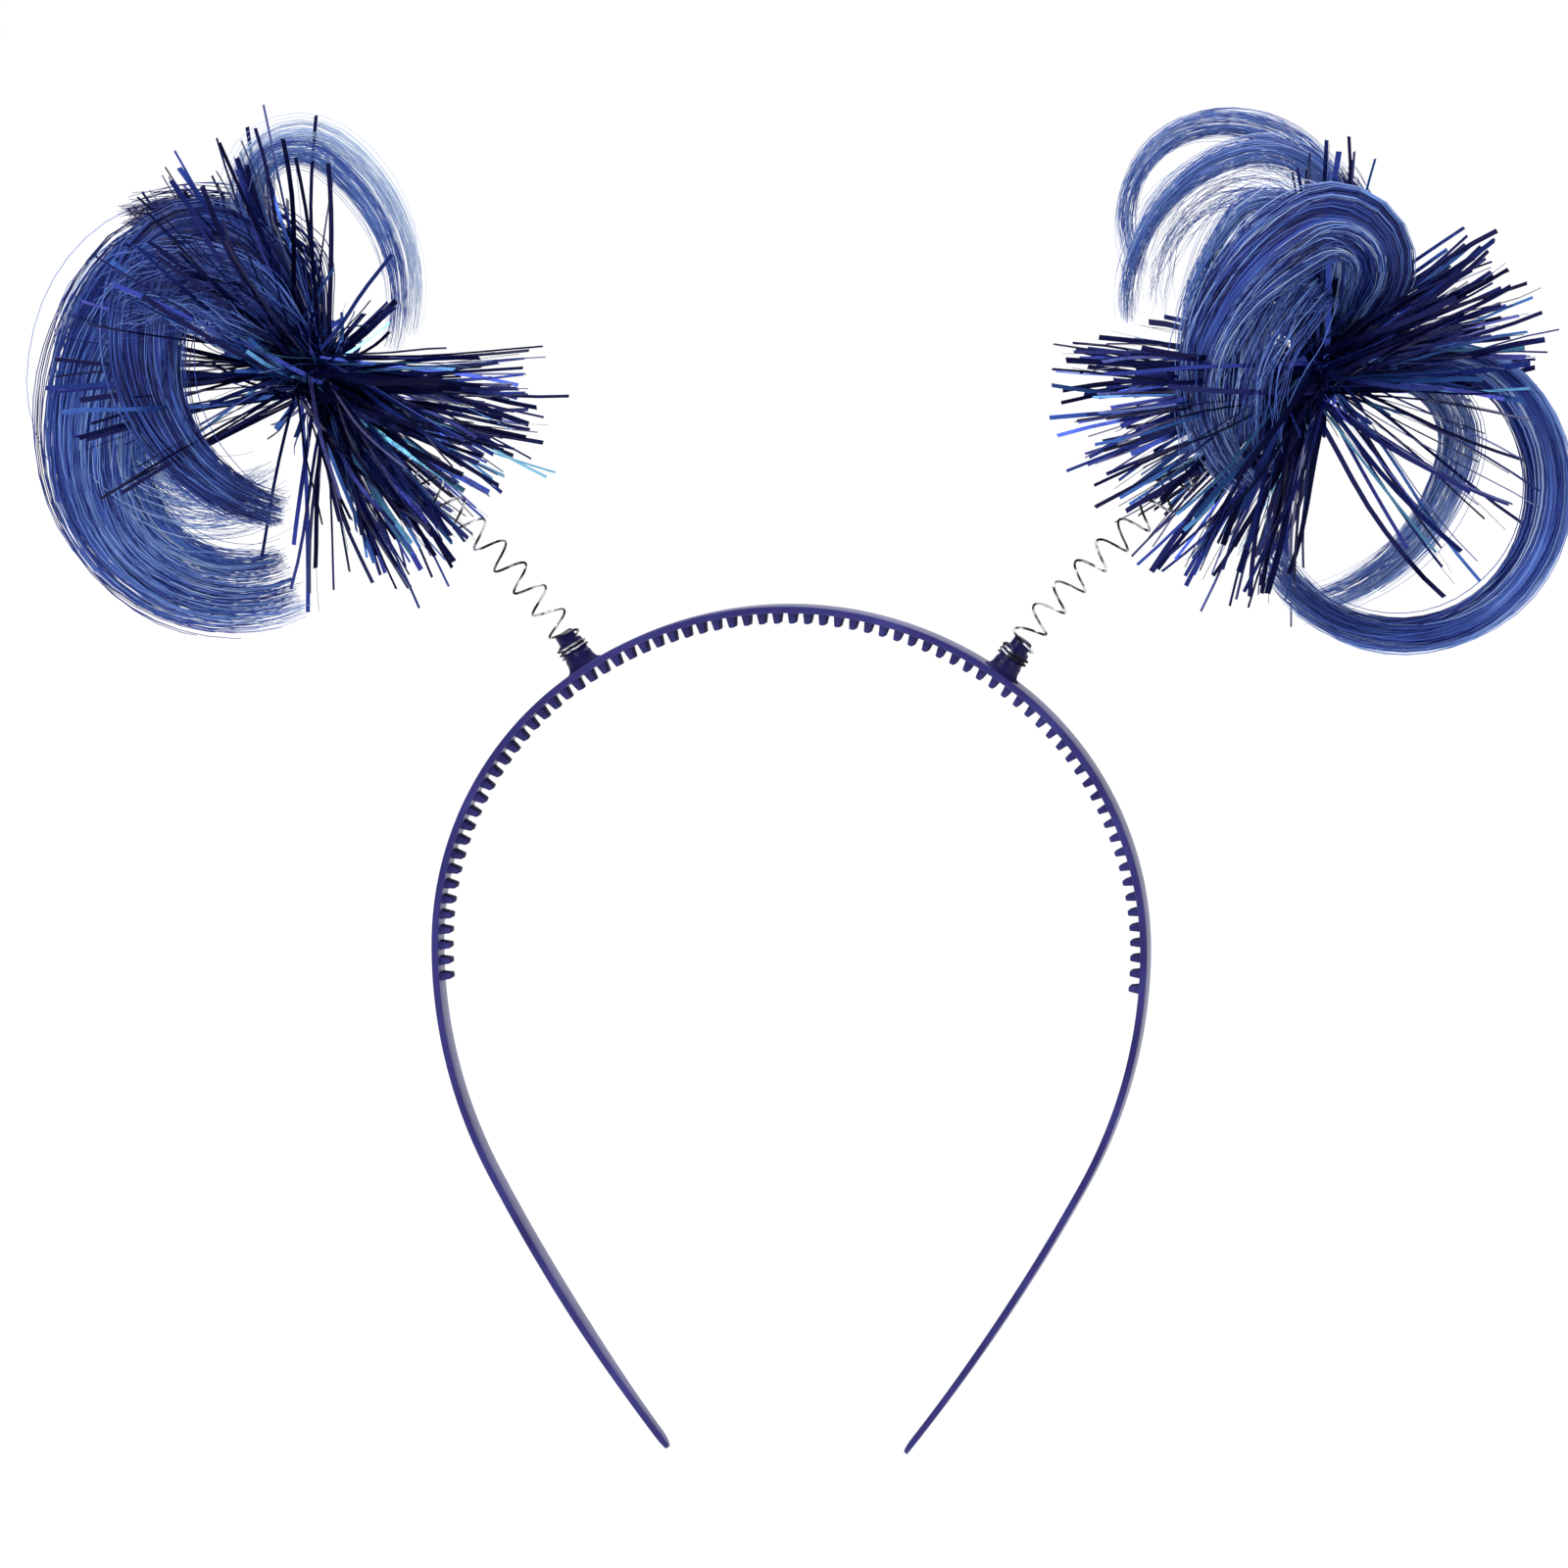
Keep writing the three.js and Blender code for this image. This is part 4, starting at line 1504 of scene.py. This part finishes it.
    def tinsel(self) -> bpy.types.Object:
        """The knot, its neck and all the fans of foil strips."""
        knot = self.ball(self.spring.knot, self.spring.knot_radius * self.knot_core,
                         self.foil_material)
        core = MeshKit.fuse(f"knot_{self.name}", [knot, self.neck()], smooth=True)
        tree = self.fan_tree()
        for index, fan in enumerate(self.fans):
            tree.attach(core, {
                "Strips": fan.count,
                "Bearing": math.radians(fan.bearing),
                "Spread": math.radians(fan.spread),
                "Lean spread": math.radians(fan.lean_spread),
                "Length": fan.reach * self.radius * (1.0 + self.strip_sway) * MM,
                "Strip width": self.strip_width * MM,
                "Strip thickness": self.strip_thickness * MM,
                "Root": self.spring.knot_radius * self.strip_root * MM,
                "Root scatter": self.root_scatter * MM,
                "Bend": self.strip_bend * MM,
                "Clear share": math.cos(math.radians(self.clear_angle)),
                "Dull": fan.dull,
                "Knot": tuple(self.spring.knot * MM),
                "Spring way": tuple(-self.spring.arrival),
                "Seed": self.seed + self.fan_seed + index * self.fan_seed_step,
            })
        piece = MeshKit.fuse(f"foil_tinsel_{self.name}", [NodeKit.bake(core)], smooth=False)
        declare(piece, f"tinsel_{self.name}")
        return piece


@dataclass(frozen=True)
class Lamp:
    """Soft square light: where it stands, its side in metres, its watts and what it faces."""

    name: str
    place: tuple[float, float, float]
    size: float
    power: float
    target: tuple[float, float, float]


@dataclass
class Studio:
    """Pale sweep, soft lights and the camera."""

    distance: float = 2.6
    azimuth: float = 7.2
    elevation: float = 4.3
    roll: float = 0.45
    frame_width: float = 0.272
    aim: tuple[float, float, float] = (-0.0014, 0.0, -0.028)
    floor_height: float = -0.22
    sweep_front: float = 3.4
    sweep_back: float = 2.6
    sweep_bend: float = 0.9
    sweep_half: float = 4.2
    sweep_top: float = 4.2
    sweep_steps: int = 16
    sensor: float = 36.0
    clip: float = 20.0
    air: tuple[float, float, float, float] = (0.95, 0.97, 1.0, 1.0)
    air_strength: float = 0.3

    def sweep(self) -> None:
        """Floor that curves up into the backdrop."""
        profile = [Vector((0.0, -self.sweep_front, self.floor_height))]
        for step in range(self.sweep_steps + 1):
            angle = math.radians(90.0 * step / self.sweep_steps)
            profile.append(Vector((0.0, self.sweep_back + self.sweep_bend * math.sin(angle),
                                   self.floor_height + self.sweep_bend * (1.0 - math.cos(angle)))))
        profile.append(Vector((0.0, self.sweep_back + self.sweep_bend, self.sweep_top)))
        verts = [tuple(point + Vector((side * self.sweep_half, 0.0, 0.0)))
                 for point in profile for side in (-1, 1)]
        faces = [(2 * row, 2 * row + 1, 2 * row + 3, 2 * row + 2) for row in range(len(profile) - 1)]
        mesh = bpy.data.meshes.new("sweep")
        mesh.from_pydata(verts, [], faces)
        mesh.polygons.foreach_set("use_smooth", [True] * len(faces))
        mesh.materials.append(PalePaper().build())
        MeshKit.stand("sweep", mesh)

    @staticmethod
    def light(lamp: Lamp) -> None:
        """Stands a lamp up and turns it to its target.

        Args:
            lamp: The lamp.
        """
        data = bpy.data.lights.new(lamp.name, "AREA")
        data.size = lamp.size
        data.energy = lamp.power
        stand = bpy.data.objects.new(lamp.name, data)
        stand.location = lamp.place
        facing = Vector(lamp.target) - Vector(lamp.place)
        stand.rotation_euler = facing.to_track_quat("-Z", "Y").to_euler()
        bpy.context.scene.collection.objects.link(stand)

    def camera(self) -> None:
        """Camera at the photograph's angle, with the photograph's framing."""
        turn, rise = math.radians(self.azimuth), math.radians(self.elevation)
        way = Vector((math.sin(turn) * math.cos(rise), -math.cos(turn) * math.cos(rise),
                      math.sin(rise)))
        data = bpy.data.cameras.new("camera")
        data.sensor_width = self.sensor
        data.lens = data.sensor_width * self.distance / self.frame_width
        data.clip_end = self.clip
        eye = bpy.data.objects.new("camera", data)
        facing = (-way).to_track_quat("-Z", "Y").to_matrix().to_4x4()
        tilt = Matrix.Rotation(math.radians(self.roll), 4, "Z")
        eye.matrix_world = Matrix.Translation(Vector(self.aim) + way * self.distance) @ facing @ tilt
        bpy.context.scene.collection.objects.link(eye)
        bpy.context.scene.camera = eye

    def build(self) -> None:
        """Sets the stage."""
        scene = bpy.context.scene
        scene.view_settings.view_transform = "Standard"
        world = bpy.data.worlds.new("soft_room")
        world.use_nodes = True
        air = world.node_tree.nodes["Background"]
        air.inputs["Color"].default_value = self.air
        air.inputs["Strength"].default_value = self.air_strength
        scene.world = world
        self.sweep()
        for lamp in (Lamp("key", (-0.9, -1.3, 1.3), 0.8, 21.0, self.aim),
                     Lamp("fill", (1.3, -1.2, 0.4), 1.0, 8.0, self.aim),
                     Lamp("back_wash", (0.0, 1.7, 3.5), 3.0, 120.0, (0.0, 2.2, 0.0))):
            self.light(lamp)
        self.camera()


def declare(piece: bpy.types.Object, node: str) -> None:
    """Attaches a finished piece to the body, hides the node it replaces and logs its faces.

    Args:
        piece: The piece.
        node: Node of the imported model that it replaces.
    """
    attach(piece, BODY)
    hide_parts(node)
    LOG.info("%s: %d faces", piece.name, len(piece.data.polygons))


LEFT = Side("left", -1, 84.5, 39.0, seed=3)
RIGHT = Side("right", 1, 89.6, 41.4, seed=41)

LOCKS = {
    LEFT.name: [
        Lock(132, 0.494, 103, 0.26, 109, 0.595, 0.5, 0.16, 0.16, 0.1, 0.62, root=0.6,
             sweep=39.5, sweep_radius=1.08, name="outer_curl", strands=600, body=0.76, fray=0.25,
             wave=1.3, dark=-0.05, bright=1.0, clumps=40),
        Lock(120, 0.5, 126, 0.2, 104, 0.7, 0.38, 0.13, -0.2, -0.26, 0.4, root=0.5,
             name="front_curl", strands=460, body=0.74, wave=1.2, dark=-0.15, bright=0.9,
             clumps=36),
        Lock(112, 0.71, -148, 0.19, -70, 0.73, 0.14, 0.1, 0.12, 0.2, 0.5,
             name="top_loop", strands=90, body=0.0, hair=0.06, fray=1.0, dark=0.3, bright=0.8),
        Lock(113, 0.7, -148, 0.22, -68, 0.72, 0.2, 0.1, 0.16, 0.24, 0.6,
             name="pale_loop", strands=100, body=0.0, hair=0.055, fray=1.2, dark=0.9, bright=1.5),
        # Set dark: painted shade near the root.
        Lock(130, 0.5, 40, 0.45, 22, 0.6, 0.6, 0.12, 0.3, 0.22, 0.5, root=0.4,
             name="root_sheet", strands=340, body=0.7, wave=1.2, dark=-0.25, bright=0.4),
        Lock(128, 0.5, 85, 0.33, 178, 0.56, 0.26, 0.1, 0.3, 0.1, 0.8, root=0.5,
             name="inner_hairs", strands=170, body=0.0, hair=0.085, wave=3.2, fray=1.2, dark=0.2,
             bright=1.2, clumps=40),
        Lock(130, 0.3, 50, 0.4, 30, 0.6, 0.42, 0.1, -0.3, -0.26, 0.7, root=0.4,
             name="root_hairs", strands=170, body=0.0, hair=0.085, wave=3.0, fray=0.4, dark=-0.1,
             bright=0.75, clumps=50),
    ],
    RIGHT.name: [
        Lock(8, 0.46, -58, 0.42, -193, 0.605, 0.19, 0.15, 0.12, 0.05, 0.6,
             name="ring_curl", strands=340, body=0.78, fray=0.3, wave=0.9, dark=0.05, bright=1.1),
        Lock(-3, 0.34, -98, 0.267, -70, 0.81, 0.17, 0.1, 0.34, 0.3, 0.6,
             name="inner_curl", strands=190, body=0.0, hair=0.07, fray=1.4, dark=0.2, bright=1.1),
        Lock(52, 0.42, 156, 0.19, 73, 0.53, 0.28, 0.14, -0.24, -0.34, 0.36, root=0.6,
             sweep=39, sweep_radius=0.9, name="front_curl", strands=620, body=0.72, wave=1.9,
             dark=-0.1, bright=1.05, clumps=46),
        Lock(78, 0.43, 109, 0.49, 118, 0.393, 0.12, 0.09, 0.3, 0.22, 0.4,
             name="outer_loop", strands=130, body=0.0, hair=0.06, fray=1.2, wave=1.0, dark=0.1,
             bright=1.0),
        Lock(81, 0.55, 117, 0.31, 78, 0.65, 0.11, 0.08, 0.12, 0.02, 0.4,
             name="middle_loop", strands=130, body=0.0, hair=0.06, fray=1.8, wave=1.2, dark=0.1,
             bright=1.0),
        Lock(85, 0.5, 146, 0.203, 39, 0.876, 0.11, 0.08, -0.05, -0.12, 0.4,
             name="inner_loop", strands=130, body=0.0, hair=0.06, fray=1.8, wave=1.2, dark=0.1,
             bright=1.0),
        # Set dark: painted shade near the root.
        Lock(74, 0.35, 30, 0.5, 20, 0.6, 0.5, 0.12, 0.28, 0.2, 0.5, root=0.4,
             name="root_sheet", strands=320, body=0.7, wave=1.2, dark=-0.25, bright=0.4),
        Lock(80, 0.42, 150, 0.1, 50, 1.0, 0.42, 0.1, -0.14, -0.3, 0.8, root=0.5,
             name="falling_hairs", strands=380, body=0.0, wave=2.0, fray=1.0, dark=0.0, bright=1.05,
             clumps=40),
        Lock(80, 0.42, 120, 0.34, 80, 0.5, 0.36, 0.1, 0.2, 0.12, 0.6,
             name="loop_hairs", strands=80, body=0.0, hair=0.06, fray=0.2, wave=3.0, dark=0.3,
             bright=1.3),
    ],
}

# The short fans whose dull is below 1 put mostly bright strips round the knot: painted glints there.
FANS = {
    LEFT.name: [
        Fan(-34, 40, 48, 250, 0.9), Fan(129, 23, 46, 130, 0.92), Fan(101, 14, 26, 16, 0.96),
        Fan(188, 27, 30, 40, 0.96, 9.0), Fan(44, 12, 30, 7, 0.48), Fan(-95, 6, 30, 8, 0.92),
        Fan(150, 180, 60, 60, 0.3, 0.7), Fan(172, 38, 60, 40, 0.42, 0.35),
    ],
    RIGHT.name: [
        Fan(217, 48, 48, 260, 0.92), Fan(19, 24, 44, 130, 0.86), Fan(-42, 24, 34, 26, 0.96),
        Fan(85, 9, 10, 14, 0.86), Fan(150, 180, 60, 60, 0.3, 0.7),
        Fan(200, 60, 60, 24, 0.3, 0.3),
    ],
}


def main() -> None:
    """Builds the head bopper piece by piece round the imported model."""
    logging.basicConfig(level=logging.INFO, format="%(name)s: %(message)s")
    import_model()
    Studio().build()
    band = Headband(MouldedPlastic().build())
    band.build()
    wire, foil, hair = SpringWire().build(), BlueFoil().build(), BlueHair().build()
    for side in (LEFT, RIGHT):
        spring = Spring(band, side, wire)
        spring.build()
        pompom = Pompom(spring, hair, foil, LOCKS[side.name], FANS[side.name])
        pompom.hair()
        pompom.tinsel()


if __name__ == "__main__":
    main()
